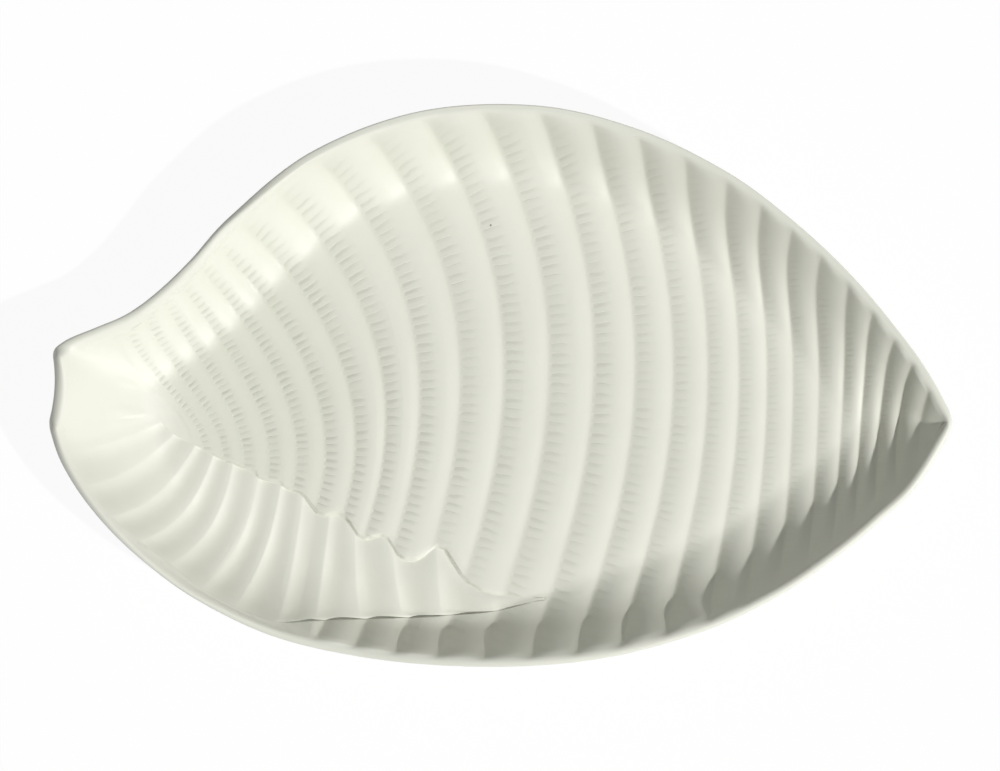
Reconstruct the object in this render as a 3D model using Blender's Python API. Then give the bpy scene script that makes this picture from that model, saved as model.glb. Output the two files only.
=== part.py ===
"""Shell platter: a ribbed, leaf-shaped dish, a fluted fan laid into it and a foot ring.

Metres, +Z up. X runs along the platter towards its pointed tip, and the origin lies on
the table under the middle of the dish.
"""

import bmesh
import bpy
import numpy as np

# Overall size
LENGTH = 0.380
WIDTH = 0.2365
HEIGHT = 0.042

# Foot, floor, wall and rim
FOOT_HEIGHT = 0.006
FOOT_LENGTH = 0.186
FOOT_SPAN = 0.104
FOOT_RING_WIDTH = 0.008
FOOT_CENTRE_X = 0.012
FOOT_CENTRE_Y = -0.006
FOOT_EDGE_ROUND = 0.0012
FLOOR_THICKNESS = 0.006
WALL_THICKNESS = 0.005
WALL_RUN = 0.021
LIP_WIDTH = 0.0042
LIP_RISE = 0.0010
RIM_DIP = 0.009
TIP_RISE = 0.0038

# Relief
RIB_HEIGHT = 0.0015
RIB_FADE = 0.003
FLUTE_DEPTH = 0.0010
FAN_SEAT_DEPTH = 0.0030
FAN_STEP = 0.0007
LEDGE_HEIGHT = 0.0022

# Gap between pieces that are luted together
CLEARANCE = 0.0003

# Rib lines, numbered along the dish from the flared end to the tip: the place of each on
# the upper rim and on the lower rim, as shares of half the length and half the width, its
# bow towards the tip as a share of half the length, and the lean of that bow.
RIB_GUIDES = (
    (-2, -0.982, 0.128, -0.998, -0.132, 0.012, 0.0),
    (-1, -0.951, 0.172, -0.980, -0.243, 0.062, -1.5),
    (0, -0.894, 0.213, -0.954, -0.329, 0.139, -2.2),
    (2, -0.823, 0.266, -0.878, -0.492, 0.161, -2.3),
    (4, -0.757, 0.346, -0.779, -0.639, 0.183, -1.3),
    (6, -0.686, 0.462, -0.664, -0.766, 0.217, -0.5),
    (8, -0.598, 0.620, -0.505, -0.883, 0.228, 0.1),
    (10, -0.417, 0.831, -0.328, -0.952, 0.194, 0.55),
    (12, -0.178, 0.975, -0.143, -0.986, 0.169, 0.5),
    (14, 0.081, 0.996, 0.063, -0.989, 0.137, 0.25),
    (16, 0.296, 0.919, 0.260, -0.952, 0.107, 0.0),
    (18, 0.491, 0.771, 0.461, -0.860, 0.055, 0.0),
    (20, 0.637, 0.602, 0.618, -0.739, 0.022, 0.0),
    (22, 0.767, 0.412, 0.731, -0.618, 0.009, 0.0),
    (24, 0.878, 0.204, 0.834, -0.484, -0.015, 0.0),
    (26, 0.960, 0.016, 0.938, -0.314, -0.018, 0.0),
    (27, 1.000, -0.105, 1.000, -0.150, 0.0, 0.0),
)

# Height of each rib as a share of the tallest.
RIB_SWELL = (
    (-2, 0.0), (0, 0.0), (1.2, 0.08), (2, 0.22), (3, 0.4), (6, 0.66), (9, 1.0), (12, 1.1),
    (15, 1.0), (18, 0.8), (21, 0.66), (24, 0.6), (27, 0.5),
)

# The walls: place along the platter as a share of half its length, run of the wall as a
# share of the usual run, and softness of its bend onto the floor.
UPPER_WALL = (
    (-1.0, 1.0, 0.3), (-0.3, 1.0, 0.3), (0.0, 1.0, 0.33), (0.35, 1.03, 0.45), (0.6, 1.06, 0.6),
    (0.8, 1.14, 0.6), (1.0, 1.35, 0.6),
)
LOWER_WALL = (
    (-1.0, 1.3, 0.8), (-0.8, 1.25, 0.75), (-0.7, 1.1, 0.6), (-0.6, 0.95, 0.5), (-0.5, 0.85, 0.45),
    (-0.4, 0.74, 0.4), (-0.3, 0.66, 0.35), (-0.2, 0.64, 0.3), (-0.1, 0.68, 0.3), (0.0, 0.78, 0.35),
    (0.1, 0.86, 0.42), (0.22, 0.93, 0.5), (0.34, 0.92, 0.62), (0.46, 0.84, 0.86), (0.6, 0.81, 1.0),
    (0.8, 0.75, 1.0), (1.0, 0.6, 1.0),
)

# The flared end's wall: run as a share of the usual run, and softness of its bend.
END_WALL = (1.58, 0.35)

# Dip of the rim along the fan: place along the platter, and share of the deepest dip.
DIP_SHARES = (
    (-1.0, 0.0), (-0.85, 0.05), (-0.7, 0.5), (-0.55, 1.0), (-0.35, 0.9), (-0.15, 0.4), (0.05, 0.05),
    (0.2, 0.0), (1.0, 0.0),
)

# Where the rib ends meet the fan: flute number and place, in the same shares. Whole
# numbers are the crests between flutes.
SUTURE = (
    (0.0, -0.779, -0.105),
    (1.0, -0.752, -0.123),
    (2.0, -0.726, -0.169),
    (3.0, -0.674, -0.208),
    (4.0, -0.636, -0.245),
    (5.0, -0.593, -0.275),
    (5.9, -0.543, -0.304),
    (6.05, -0.534, -0.329),
    (6.95, -0.487, -0.343),
    (7.1, -0.481, -0.357),
    (8.0, -0.439, -0.384),
    (8.6, -0.399, -0.467),
    (9.5, -0.350, -0.453),
    (10.2, -0.310, -0.549),
    (10.8, -0.255, -0.531),
    (11.2, -0.222, -0.616),
    (11.6, -0.182, -0.623),
    (12.1, -0.132, -0.560),
    (12.5, -0.078, -0.694),
    (12.95, -0.034, -0.741),
    (14.0, 0.098, -0.751),
)

# The fan's outer edge: along the rim up to flute 8, then the ledge above the wall.
FAN_EDGE = (
    (0.0, -0.965, -0.155),
    (1.0, -0.951, -0.226),
    (2.0, -0.914, -0.346),
    (3.0, -0.859, -0.457),
    (4.0, -0.797, -0.545),
    (5.0, -0.730, -0.627),
    (6.0, -0.662, -0.712),
    (7.0, -0.587, -0.780),
    (8.0, -0.492, -0.833),
    (9.0, -0.408, -0.831),
    (10.0, -0.310, -0.826),
    (11.0, -0.215, -0.822),
    (12.0, -0.129, -0.815),
    (13.0, -0.012, -0.799),
    (14.0, 0.098, -0.771),
)
LEDGE_START = 8.0

# Sideways bow of the crests between flutes, as a share of half the length.
FLUTE_BOW = (
    (0, 0.0), (1, 0.009), (2, 0.018), (3, 0.027), (4, 0.031), (5, 0.031), (6, 0.027), (7, 0.018),
    (8, 0.007), (9, 0.0), (14, 0.0),
)

# Fineness of the surfaces
RIB_STATIONS = (0.0, 0.3, 0.7)
FLUTE_STATIONS = (0.0, 0.33, 0.67)
WALL_ROWS = 8
FLOOR_ROWS = 8
WALL_SHARE = 0.17
FAN_ROWS = 8
FOOT_SIDES = 56
RIM_SAMPLES = 400
CUTTER_RISE = 0.01

GLAZE_COLOUR = (0.80, 0.81, 0.71, 1.0)
CLAY_COLOUR = (0.72, 0.68, 0.58, 1.0)

FLOOR_LEVEL = FOOT_HEIGHT + FLOOR_THICKNESS
FIRST_RIB = RIB_GUIDES[0][0]
LAST_RIB = RIB_GUIDES[-1][0]
LAST_FLUTE = FAN_EDGE[-1][0]


def smooth_step(value, low, high):
    """Rise from 0 at low to 1 at high, level at both ends."""
    share = np.clip((value - low) / (high - low), 0.0, 1.0)
    return share * share * (3.0 - 2.0 * share)


def smooth_curve(knots, values, at):
    """Cubic curve through the values, with the slope of its neighbours at each knot."""
    knots = np.asarray(knots, float)
    values = np.asarray(values, float)
    slopes = np.gradient(values, knots)
    place = np.clip(np.searchsorted(knots, at, side="right") - 1, 0, len(knots) - 2)
    span = knots[place + 1] - knots[place]
    share = (at - knots[place]) / span
    rest = 1.0 - share
    start = (1.0 + 2.0 * share) * rest * rest * values[place]
    end = share * share * (3.0 - 2.0 * share) * values[place + 1]
    leave = share * rest * rest * span * slopes[place]
    arrive = share * share * rest * span * slopes[place + 1]
    return start + end + leave - arrive


def read_table(table, at):
    """Smooth values of a table's columns at places in its first column."""
    columns = np.asarray(table, float).T
    return [smooth_curve(columns[0], column, at) for column in columns[1:]]


def rib_shares(rib, along):
    """Plan place, in shares, on a rib line at 0 (upper rim) to 1 (lower rim) along it."""
    upper_x, upper_y, lower_x, lower_y, bow, lean = read_table(RIB_GUIDES, rib)
    arch = 4.0 * along * (1.0 - along) * (1.0 + lean * (0.5 - along))
    x = upper_x + (lower_x - upper_x) * along + bow * arch
    y = upper_y + (lower_y - upper_y) * along
    return x, y


def measure_outline():
    """Middle and half span of the rim, in shares, so that it fills its length and width."""
    ribs = np.linspace(FIRST_RIB, LAST_RIB, RIM_SAMPLES)
    ends = [rib_shares(ribs, 0.0 * ribs), rib_shares(ribs, 0.0 * ribs + 1.0)]
    x = np.concatenate([end[0] for end in ends])
    y = np.concatenate([end[1] for end in ends])
    middle = ((x.max() + x.min()) / 2, (y.max() + y.min()) / 2)
    half = ((x.max() - x.min()) / 2, (y.max() - y.min()) / 2)
    return middle, half


OUTLINE_MIDDLE, OUTLINE_HALF = measure_outline()


def to_metres(x, y):
    """Plan shares to metres."""
    x = (x - OUTLINE_MIDDLE[0]) / OUTLINE_HALF[0] * LENGTH / 2
    y = (y - OUTLINE_MIDDLE[1]) / OUTLINE_HALF[1] * WIDTH / 2
    return x, y


def rib_plan(rib, along):
    """Plan place in metres on a rib line."""
    return to_metres(*rib_shares(np.asarray(rib, float), np.asarray(along, float)))


def distance_to(x, y, line_x, line_y):
    """Distance from each point to a line of straight steps."""
    nearest = np.full(np.shape(x), np.inf)
    for k in range(len(line_x) - 1):
        step_x = line_x[k + 1] - line_x[k]
        step_y = line_y[k + 1] - line_y[k]
        length = step_x * step_x + step_y * step_y
        share = ((x - line_x[k]) * step_x + (y - line_y[k]) * step_y) / length
        share = np.clip(share, 0.0, 1.0)
        gap_x = x - line_x[k] - share * step_x
        gap_y = y - line_y[k] - share * step_y
        nearest = np.minimum(nearest, np.hypot(gap_x, gap_y))
    return nearest


def sweep(x):
    """1 at the flared end, where the walls run out to the edge, and 0 along the lip."""
    return 1.0 - smooth_step(x / (LENGTH / 2), -0.8, -0.35)


def rim_distances(x, y):
    """Distance inside the lip from the upper rim, the lower rim and the flared end."""
    ribs = np.linspace(FIRST_RIB, LAST_RIB, RIM_SAMPLES // 3)
    steps = np.linspace(0.0, 1.0, 9)
    lines = (
        rib_plan(ribs, 0.0 * ribs),
        rib_plan(ribs, 0.0 * ribs + 1.0),
        rib_plan(0.0 * steps + FIRST_RIB, steps),
    )
    lip = LIP_WIDTH * (1.0 - sweep(x))
    return [np.maximum(distance_to(x, y, *line) - lip, 0.0) for line in lines]


def wall_depth(distance, run, soft):
    """Depth under the lip, from 0 to 1 on the floor: a straight wall with a bend at its foot."""
    reach = distance / (run * WALL_RUN)
    bend = np.clip(1.0 + soft - reach, 0.0, None) ** 2 / (4.0 * soft)
    return 1.0 - np.where(reach < 1.0 - soft, 1.0 - reach, bend)


def join_walls(first, second, crispness):
    """Depth where two walls meet, each 0 at its rim and 1 on the floor, with a soft corner."""
    first = np.maximum(first, 1e-4)
    second = np.maximum(second, 1e-4)
    return (first ** -crispness + second ** -crispness - 1.0) ** (-1.0 / crispness)


def rim_level(x, y):
    """Height of the rim: lower along the fan's side."""
    half = LENGTH / 2
    dip = np.maximum(read_table(DIP_SHARES, np.clip(x / half, -1.0, 1.0))[0], 0.0)
    return HEIGHT - RIM_DIP * dip * smooth_step(-y, 0.0, 0.25 * half)


def bed_height(x, y):
    """Height of the dish's inner face without its ribs."""
    upper, lower, end = rim_distances(x, y)
    place = np.clip(x / (LENGTH / 2), -1.0, 1.0)
    depths = []
    for distance, table in ((upper, UPPER_WALL), (lower, LOWER_WALL)):
        run, soft = read_table(table, place)
        depths.append(wall_depth(distance, run, np.minimum(soft, 1.0)))
    sides = join_walls(*depths, 10.0)
    depth = join_walls(sides, wall_depth(end, *END_WALL), 4.0)
    rise = LIP_RISE * (1.0 - sweep(x)) * (0.4 + 0.6 * smooth_step(place, -0.3, 0.1))
    level = rim_level(x, y) - rise
    floor = FLOOR_LEVEL + TIP_RISE * smooth_step(place, 0.6, 0.95)
    return level - (level - floor) * depth


def steepness(x, y):
    """Slope of the dish's inner face without its ribs."""
    probe = 0.0005
    slope_x = (bed_height(x + probe, y) - bed_height(x - probe, y)) / (2 * probe)
    slope_y = (bed_height(x, y + probe) - bed_height(x, y - probe)) / (2 * probe)
    return np.hypot(slope_x, slope_y)


def under_height(x, y):
    """Height of the dish's smooth underside, one wall below the inner face."""
    steep = steepness(x, y)
    wall = WALL_THICKNESS * np.sqrt(1.0 + steep * steep)
    ease = smooth_step(steep, 0.0, 0.5)
    return bed_height(x, y) - FLOOR_THICKNESS - (wall - FLOOR_THICKNESS) * ease


def wave(within):
    """Smooth wave over one rib or flute, 0 at both ends and 1 in the middle."""
    return 0.5 - 0.5 * np.cos(2.0 * np.pi * within)


def rib_relief(rib, x, y):
    """Height of the ribs: soft waves at the flared end, arches with crisp valleys at the tip."""
    upper, lower, end = rim_distances(x, y)
    near_tip = smooth_step(rib, 17.5, 20.0)
    upper_least = 0.5 * smooth_step(rib, 10.0, 14.0)
    upper_fade = RIB_FADE * (6.0 - 5.0 * smooth_step(rib, 6.0, 12.0))
    strength = upper_least + (1.0 - upper_least) * smooth_step(upper, 0.0, upper_fade)
    lower_least = 0.5 * smooth_step(rib, 8.5, 9.5) * (1.0 - near_tip)
    lower_fade = RIB_FADE * (8.8 - 8.0 * smooth_step(rib, 8.0, 9.0) + 4.0 * near_tip)
    strength = strength * (lower_least + (1.0 - lower_least) * smooth_step(lower, 0.0, lower_fade))
    steep = np.minimum(steepness(x, y), 1.2)
    lean = 0.58 + 0.62 * smooth_step(steep, 0.0, 0.5) - 0.2 * smooth_step(steep, 0.6, 1.2)
    lean = lean * np.sqrt(1.0 + steep * steep)
    suture = to_metres(*np.asarray(SUTURE).T[1:])
    calm = 0.6 + 0.4 * smooth_step(distance_to(x, y, *suture), 0.0, 0.05)
    swell = np.asarray(RIB_SWELL).T
    height = RIB_HEIGHT * np.interp(rib, swell[0], swell[1])
    within = rib - np.floor(rib)
    arch = 4.0 * within * (1.0 - within)
    arch = arch + (wave(within) - arch) * (1.0 - smooth_step(rib, 3.0, 9.0))
    return height * strength * lean * calm * arch


def stations(first, last, within):
    """Station numbers from first to last, at the given shares of each whole step."""
    whole = np.arange(np.ceil(first), np.floor(last) + 1)
    numbers = (whole[:, None] + np.asarray(within)[None, :]).ravel()
    numbers = numbers[(numbers > first + 0.1) & (numbers < last - 0.1)]
    return np.concatenate([[first], numbers, [last]])


def ring_of(grid):
    """Border of a grid of points, clockwise from its first corner."""
    return np.concatenate([grid[0, :-1], grid[:-1, -1], grid[-1, :0:-1], grid[:0:-1, 0]])


def build_solid(name, top, rings, bottom):
    """Closed object from an upper grid, rings of points round its edge and a lower grid."""
    mesh = bpy.data.meshes.new(name)
    shape = bmesh.new()
    rows, columns = top.shape[:2]

    def add_points(points):
        return np.array([shape.verts.new(point) for point in points.reshape(-1, 3)])

    upper = add_points(top).reshape(rows, columns)
    lower = add_points(bottom).reshape(rows, columns)
    for r in range(rows - 1):
        for c in range(columns - 1):
            shape.faces.new((upper[r, c], upper[r + 1, c], upper[r + 1, c + 1]))
            shape.faces.new((upper[r, c], upper[r + 1, c + 1], upper[r, c + 1]))
            shape.faces.new((lower[r, c], lower[r + 1, c + 1], lower[r + 1, c]))
            shape.faces.new((lower[r, c], lower[r, c + 1], lower[r + 1, c + 1]))
    loops = [ring_of(upper)] + [add_points(ring) for ring in rings] + [ring_of(lower)]
    for inner, outer in zip(loops, loops[1:]):
        for k in range(len(inner)):
            n = (k + 1) % len(inner)
            shape.faces.new((inner[k], inner[n], outer[n], outer[k]))
    bmesh.ops.recalc_face_normals(shape, faces=shape.faces)
    shape.to_mesh(mesh)
    shape.free()
    mesh.shade_smooth()
    mesh.set_sharp_from_angle(angle=0.7)
    thing = bpy.data.objects.new(name, mesh)
    bpy.context.scene.collection.objects.link(thing)
    return thing


def stack(x, y, z):
    """Points from three arrays of coordinates."""
    return np.stack(np.broadcast_arrays(x, y, z), axis=-1)


def dish_grid():
    """Rib number and place along it for every point of the dish's inner face."""
    middle = np.array([0.45, 0.55])
    start_step = np.diff(rib_plan(np.array([FIRST_RIB, FIRST_RIB + 0.1]), middle)[0])[0] / 0.1
    end_step = np.diff(rib_plan(np.array([LAST_RIB - 0.1, LAST_RIB]), middle)[0])[0] / 0.1
    first = FIRST_RIB + LIP_WIDTH / start_step
    last = LAST_RIB - LIP_WIDTH / end_step
    ribs = stations(first, last, RIB_STATIONS)
    inset = []
    for edge, inward in ((0.0, 0.01), (1.0, -0.01)):
        edge_x, edge_y = rib_plan(ribs, 0.0 * ribs + edge)
        in_x, in_y = rib_plan(ribs, 0.0 * ribs + edge + inward)
        along_x, along_y = np.gradient(edge_x), np.gradient(edge_y)
        reach = np.abs(along_x * (in_y - edge_y) - along_y * (in_x - edge_x)) / np.hypot(along_x, along_y)
        inset.append(LIP_WIDTH * abs(inward) / reach)
    rows = 2 * WALL_ROWS + FLOOR_ROWS
    turns = (0, WALL_ROWS, WALL_ROWS + FLOOR_ROWS, rows)
    steps = np.interp(np.arange(rows + 1), turns, (0.0, WALL_SHARE, 1.0 - WALL_SHARE, 1.0))
    along = inset[0] + (1.0 - inset[0] - inset[1]) * steps[:, None]
    rib = np.broadcast_to(ribs, along.shape)
    outer_ribs = FIRST_RIB + (ribs - first) / (last - first) * (LAST_RIB - FIRST_RIB)
    outer_rib = np.broadcast_to(outer_ribs, along.shape)
    outer_along = np.broadcast_to(steps[:, None], along.shape)
    return rib, along, outer_rib, outer_along


def lip_rings(inner, outer):
    """Rings of the rim, from its inner edge over its crown and down to the underside."""
    flare = sweep(inner[:, 0])
    crown = 0.34 + 0.06 * flare
    rise = (rim_level(inner[:, 0], inner[:, 1]) - inner[:, 2]) * (1.0 - flare)
    side = 0.5 * WALL_THICKNESS
    section = (
        (0.5 * crown, 0.25 * rise),
        (crown, 0.0 * rise),
        (0.3 * crown + 0.7, 0.3 * side),
        (1.0, side),
        (0.87, 0.92 * WALL_THICKNESS),
    )
    rings = []
    for out, fall in section:
        ring = inner + (outer - inner) * np.reshape(out, (-1, 1))
        level = rim_level(ring[:, 0], ring[:, 1])
        below = level - bed_height(ring[:, 0], ring[:, 1])
        ring[:, 2] = level - fall - flare * below
        rings.append(ring)
    return rings


def make_dish():
    """The ribbed dish with its floor, walls and rounded rim."""
    rib, along, outer_rib, outer_along = dish_grid()
    x, y = rib_plan(rib, along)
    face = np.minimum(bed_height(x, y) + rib_relief(rib, x, y), rim_level(x, y))
    top = stack(x, y, face)
    bottom = stack(x, y, under_height(x, y))
    outer_x, outer_y = rib_plan(outer_rib, outer_along)
    rings = lip_rings(ring_of(top), ring_of(stack(outer_x, outer_y, HEIGHT)))
    return build_solid("shell_dish", top, rings, bottom)


def fan_grid():
    """Plan points, flute numbers and shares outwards for the fan."""
    suture = np.asarray(SUTURE)
    between = stations(0.0, LAST_FLUTE, FLUTE_STATIONS)
    apart = np.abs(between[:, None] - suture[None, :, 0]).min(axis=1) > 0.12
    flutes = np.unique(np.concatenate([between[apart], suture[:, 0]]))
    outwards = np.linspace(0.0, 1.0, FAN_ROWS + 1)[:, None]
    inner_x, inner_y = to_metres(*(np.interp(flutes, suture[:, 0], suture[:, k]) for k in (1, 2)))
    outer_x, outer_y = to_metres(*read_table(FAN_EDGE, flutes))
    run_x = outer_x - inner_x
    run_y = outer_y - inner_y
    bow = read_table(FLUTE_BOW, flutes)[0] * LENGTH / 2 / np.hypot(run_x, run_y)
    arch = 4.0 * outwards * (1.0 - outwards) * (1.0 + 0.5 * (outwards - 0.5))
    x = inner_x + run_x * outwards - run_y * bow * arch
    y = inner_y + run_y * outwards + run_x * bow * arch
    return x, y, np.broadcast_to(flutes, x.shape), np.broadcast_to(outwards, x.shape)


def fan_height(x, y, flute, outwards):
    """Height of the fan's face: hollow flutes on a sheet that climbs to the rim and ledge."""
    bed = bed_height(x, y)
    ledge = smooth_step(flute, LEDGE_START - 0.4, LEDGE_START + 0.6)
    taper = 1.0 - 0.6 * smooth_step(flute, LAST_FLUTE - 2.0, LAST_FLUTE)
    step = FAN_STEP * smooth_step(flute, 3.0, 7.0) * taper
    end = bed[-1] + LEDGE_HEIGHT * (ledge * taper)[-1]
    swell = 3.0 - 0.8 * ledge
    above = bed[0] - step + (end - bed[0] + step) * outwards ** swell - bed
    above = np.maximum(above, -step * (1.0 - outwards) ** 2) * smooth_step(flute, 0.0, 2.0)
    hollow = wave(flute - np.floor(flute))
    rim_fade = 1.0 - (0.6 - 0.2 * ledge) * smooth_step(outwards, 0.85, 1.0)
    end_fade = smooth_step(flute, 0.0, 3.0) * (1.0 - smooth_step(flute, LAST_FLUTE - 1.5, LAST_FLUTE))
    return bed + above - FLUTE_DEPTH * hollow * rim_fade * end_fade


def draw_in(points, gap):
    """Grid of points with its border moved inwards, square to it, by a gap, and the rest eased along."""
    drawn = points.copy()
    ring = ring_of(points)[:, :2]
    before = ring - np.roll(ring, 1, axis=0)
    after = np.roll(ring, -1, axis=0) - ring
    sides = []
    for step in (before, after):
        step = step / np.linalg.norm(step, axis=1, keepdims=True)
        sides.append(np.stack([step[:, 1], -step[:, 0]], axis=1))
    turn = 1.0 + np.sum(sides[0] * sides[1], axis=1, keepdims=True)
    move = gap * (sides[0] + sides[1]) / np.maximum(turn, 0.35)
    area = np.sum(ring[:, 0] * np.roll(ring[:, 1], -1) - ring[:, 1] * np.roll(ring[:, 0], -1))
    moved = ring_of(points)
    moved[:, :2] += move * np.sign(-area)
    rows, columns = points.shape[:2]
    places = [(0, c) for c in range(columns - 1)]
    places += [(r, columns - 1) for r in range(rows - 1)]
    places += [(rows - 1, c) for c in range(columns - 1, 0, -1)]
    places += [(r, 0) for r in range(rows - 1, 0, -1)]
    for place, point in zip(places, moved):
        drawn[place] = point
    share = np.linspace(0.0, 1.0, rows)[:, None, None]
    follow = (drawn - points)[:1] * (1.0 - share) ** 3 + (drawn - points)[-1:] * share ** 3
    drawn[1:-1, 1:-1] += follow[1:-1, 1:-1]
    return drawn


def make_fan(dish):
    """The fluted fan, and the seat that the dish has for it."""
    x, y, flute, outwards = fan_grid()
    bed = bed_height(x, y)
    seat = stack(x, y, bed - FAN_SEAT_DEPTH)
    cutter = build_solid("fan_seat", stack(x, y, HEIGHT + CUTTER_RISE), [], seat)
    cutter.hide_render = True
    cutter.display_type = "WIRE"
    cut = dish.modifiers.new("fan seat", "BOOLEAN")
    cut.operation = "DIFFERENCE"
    cut.solver = "EXACT"
    cut.object = cutter
    top = draw_in(stack(x, y, fan_height(x, y, flute, outwards)), CLEARANCE)
    bottom = draw_in(stack(x, y, bed), CLEARANCE)
    bottom[..., 2] = np.maximum(bed, bed_height(bottom[..., 0], bottom[..., 1]))
    bottom[..., 2] += CLEARANCE * np.sqrt(1.0 + steepness(x, y) ** 2) - FAN_SEAT_DEPTH
    return build_solid("fan_fold", top, [], bottom)


def make_foot():
    """The oval ring under the floor, flat where it stands on the table."""
    turn = np.linspace(0.0, 2.0 * np.pi, FOOT_SIDES, endpoint=False)

    def oval(inset):
        x = FOOT_CENTRE_X + (FOOT_LENGTH / 2 - inset) * np.cos(turn)
        y = FOOT_CENTRE_Y + (FOOT_SPAN / 2 - inset) * np.sin(turn)
        return x, y

    section = (
        (0.0, None),
        (0.0, FOOT_EDGE_ROUND),
        (FOOT_EDGE_ROUND, 0.0),
        (FOOT_RING_WIDTH - FOOT_EDGE_ROUND, 0.0),
        (FOOT_RING_WIDTH, FOOT_EDGE_ROUND),
        (FOOT_RING_WIDTH, None),
    )
    mesh = bpy.data.meshes.new("foot_ring")
    shape = bmesh.new()
    loops = []
    for inset, level in section:
        x, y = oval(inset)
        z = under_height(x, y) - CLEARANCE if level is None else level + 0.0 * x
        loops.append([shape.verts.new(point) for point in stack(x, y, z)])
    for inner, outer in zip(loops, loops[1:] + loops[:1]):
        for k in range(FOOT_SIDES):
            n = (k + 1) % FOOT_SIDES
            shape.faces.new((inner[k], inner[n], outer[n], outer[k]))
    bmesh.ops.recalc_face_normals(shape, faces=shape.faces)
    shape.to_mesh(mesh)
    shape.free()
    mesh.shade_smooth()
    mesh.set_sharp_from_angle(angle=0.7)
    foot = bpy.data.objects.new("foot_ring", mesh)
    bpy.context.scene.collection.objects.link(foot)
    return foot


def make_material(name, colour, roughness):
    """Plain ceramic finish."""
    material = bpy.data.materials.new(name)
    material.use_nodes = True
    shader = material.node_tree.nodes["Principled BSDF"]
    shader.inputs["Base Color"].default_value = colour
    shader.inputs["Roughness"].default_value = roughness
    shader.inputs["Metallic"].default_value = 0.0
    return material


def main():
    for thing in list(bpy.data.objects):
        bpy.data.objects.remove(thing, do_unlink=True)
    dish = make_dish()
    fan = make_fan(dish)
    foot = make_foot()
    dish.data.materials.append(make_material("dish glaze", GLAZE_COLOUR, 0.15))
    fan.data.materials.append(make_material("fan glaze", GLAZE_COLOUR, 0.15))
    foot.data.materials.append(make_material("dry foot", CLAY_COLOUR, 0.6))


main()
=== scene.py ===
"""Shell platter: a ribbed, leaf-shaped ceramic dish with a fluted fan, glazed ivory.

Metres, +Z up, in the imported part's frame. X runs along the platter towards its pointed
tip, and the origin lies on the table under the middle of the dish.
"""

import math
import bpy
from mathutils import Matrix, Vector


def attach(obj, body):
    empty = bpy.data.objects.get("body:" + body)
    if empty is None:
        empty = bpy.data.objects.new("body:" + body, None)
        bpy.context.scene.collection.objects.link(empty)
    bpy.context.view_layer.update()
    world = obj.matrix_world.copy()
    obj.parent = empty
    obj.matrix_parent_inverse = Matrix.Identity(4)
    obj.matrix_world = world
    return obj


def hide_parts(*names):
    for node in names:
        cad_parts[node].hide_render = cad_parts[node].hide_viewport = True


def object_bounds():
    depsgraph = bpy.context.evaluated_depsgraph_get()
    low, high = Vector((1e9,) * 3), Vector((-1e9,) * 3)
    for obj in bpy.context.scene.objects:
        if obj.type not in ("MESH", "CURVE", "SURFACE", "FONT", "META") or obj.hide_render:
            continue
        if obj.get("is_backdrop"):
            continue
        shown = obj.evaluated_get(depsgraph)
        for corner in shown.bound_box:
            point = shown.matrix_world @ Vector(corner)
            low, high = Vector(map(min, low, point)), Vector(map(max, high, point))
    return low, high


bl_info = {
    "name": "Shell platter",
    "version": (1, 0, 0),
    "blender": (4, 5, 0),
    "location": "3D View > Sidebar > Platter",
    "description": "Models a ribbed ceramic shell platter with its glaze, and a stage for it",
    "category": "Add Mesh",
}

import bpy
import numpy as np
from bpy.props import FloatProperty, FloatVectorProperty, PointerProperty

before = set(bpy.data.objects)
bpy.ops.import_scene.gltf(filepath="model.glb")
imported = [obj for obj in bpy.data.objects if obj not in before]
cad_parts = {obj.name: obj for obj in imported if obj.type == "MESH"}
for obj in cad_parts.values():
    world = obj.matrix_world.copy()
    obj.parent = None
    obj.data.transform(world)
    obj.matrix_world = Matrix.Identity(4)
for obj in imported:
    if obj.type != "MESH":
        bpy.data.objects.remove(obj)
CAD_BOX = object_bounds()
CAD_SPAN = [high - low for low, high in zip(*CAD_BOX)]

# Rib lines, numbered along the dish from the flared end to the tip: the place of each on
# the upper rim and on the lower rim, as shares of half the length and half the width, its
# bow towards the tip as a share of half the length, and the lean of that bow.
RIB_GUIDES = (
    (-2, -0.990, 0.130, -0.998, -0.132, 0.010, 0.0),
    (-1, -0.953, 0.170, -0.977, -0.239, 0.062, -1.5),
    (0, -0.894, 0.209, -0.950, -0.323, 0.139, -2.2),
    (2, -0.822, 0.260, -0.874, -0.486, 0.160, -2.3),
    (4, -0.755, 0.339, -0.776, -0.634, 0.182, -1.3),
    (6, -0.683, 0.450, -0.662, -0.763, 0.215, -0.5),
    (8, -0.594, 0.606, -0.505, -0.883, 0.226, 0.1),
    (10, -0.417, 0.831, -0.328, -0.952, 0.194, 0.55),
    (12, -0.178, 0.975, -0.143, -0.986, 0.169, 0.5),
    (14, 0.081, 0.996, 0.063, -0.989, 0.137, 0.25),
    (16, 0.304, 0.913, 0.260, -0.952, 0.104, 0.0),
    (18, 0.501, 0.762, 0.461, -0.860, 0.051, 0.0),
    (20, 0.647, 0.590, 0.614, -0.743, 0.021, 0.0),
    (22, 0.773, 0.402, 0.728, -0.622, 0.009, 0.0),
    (24, 0.881, 0.198, 0.834, -0.484, -0.016, 0.0),
    (26, 0.960, 0.016, 0.938, -0.314, -0.018, 0.0),
    (27, 1.000, -0.105, 1.000, -0.150, 0.0, 0.0),
)

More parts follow.
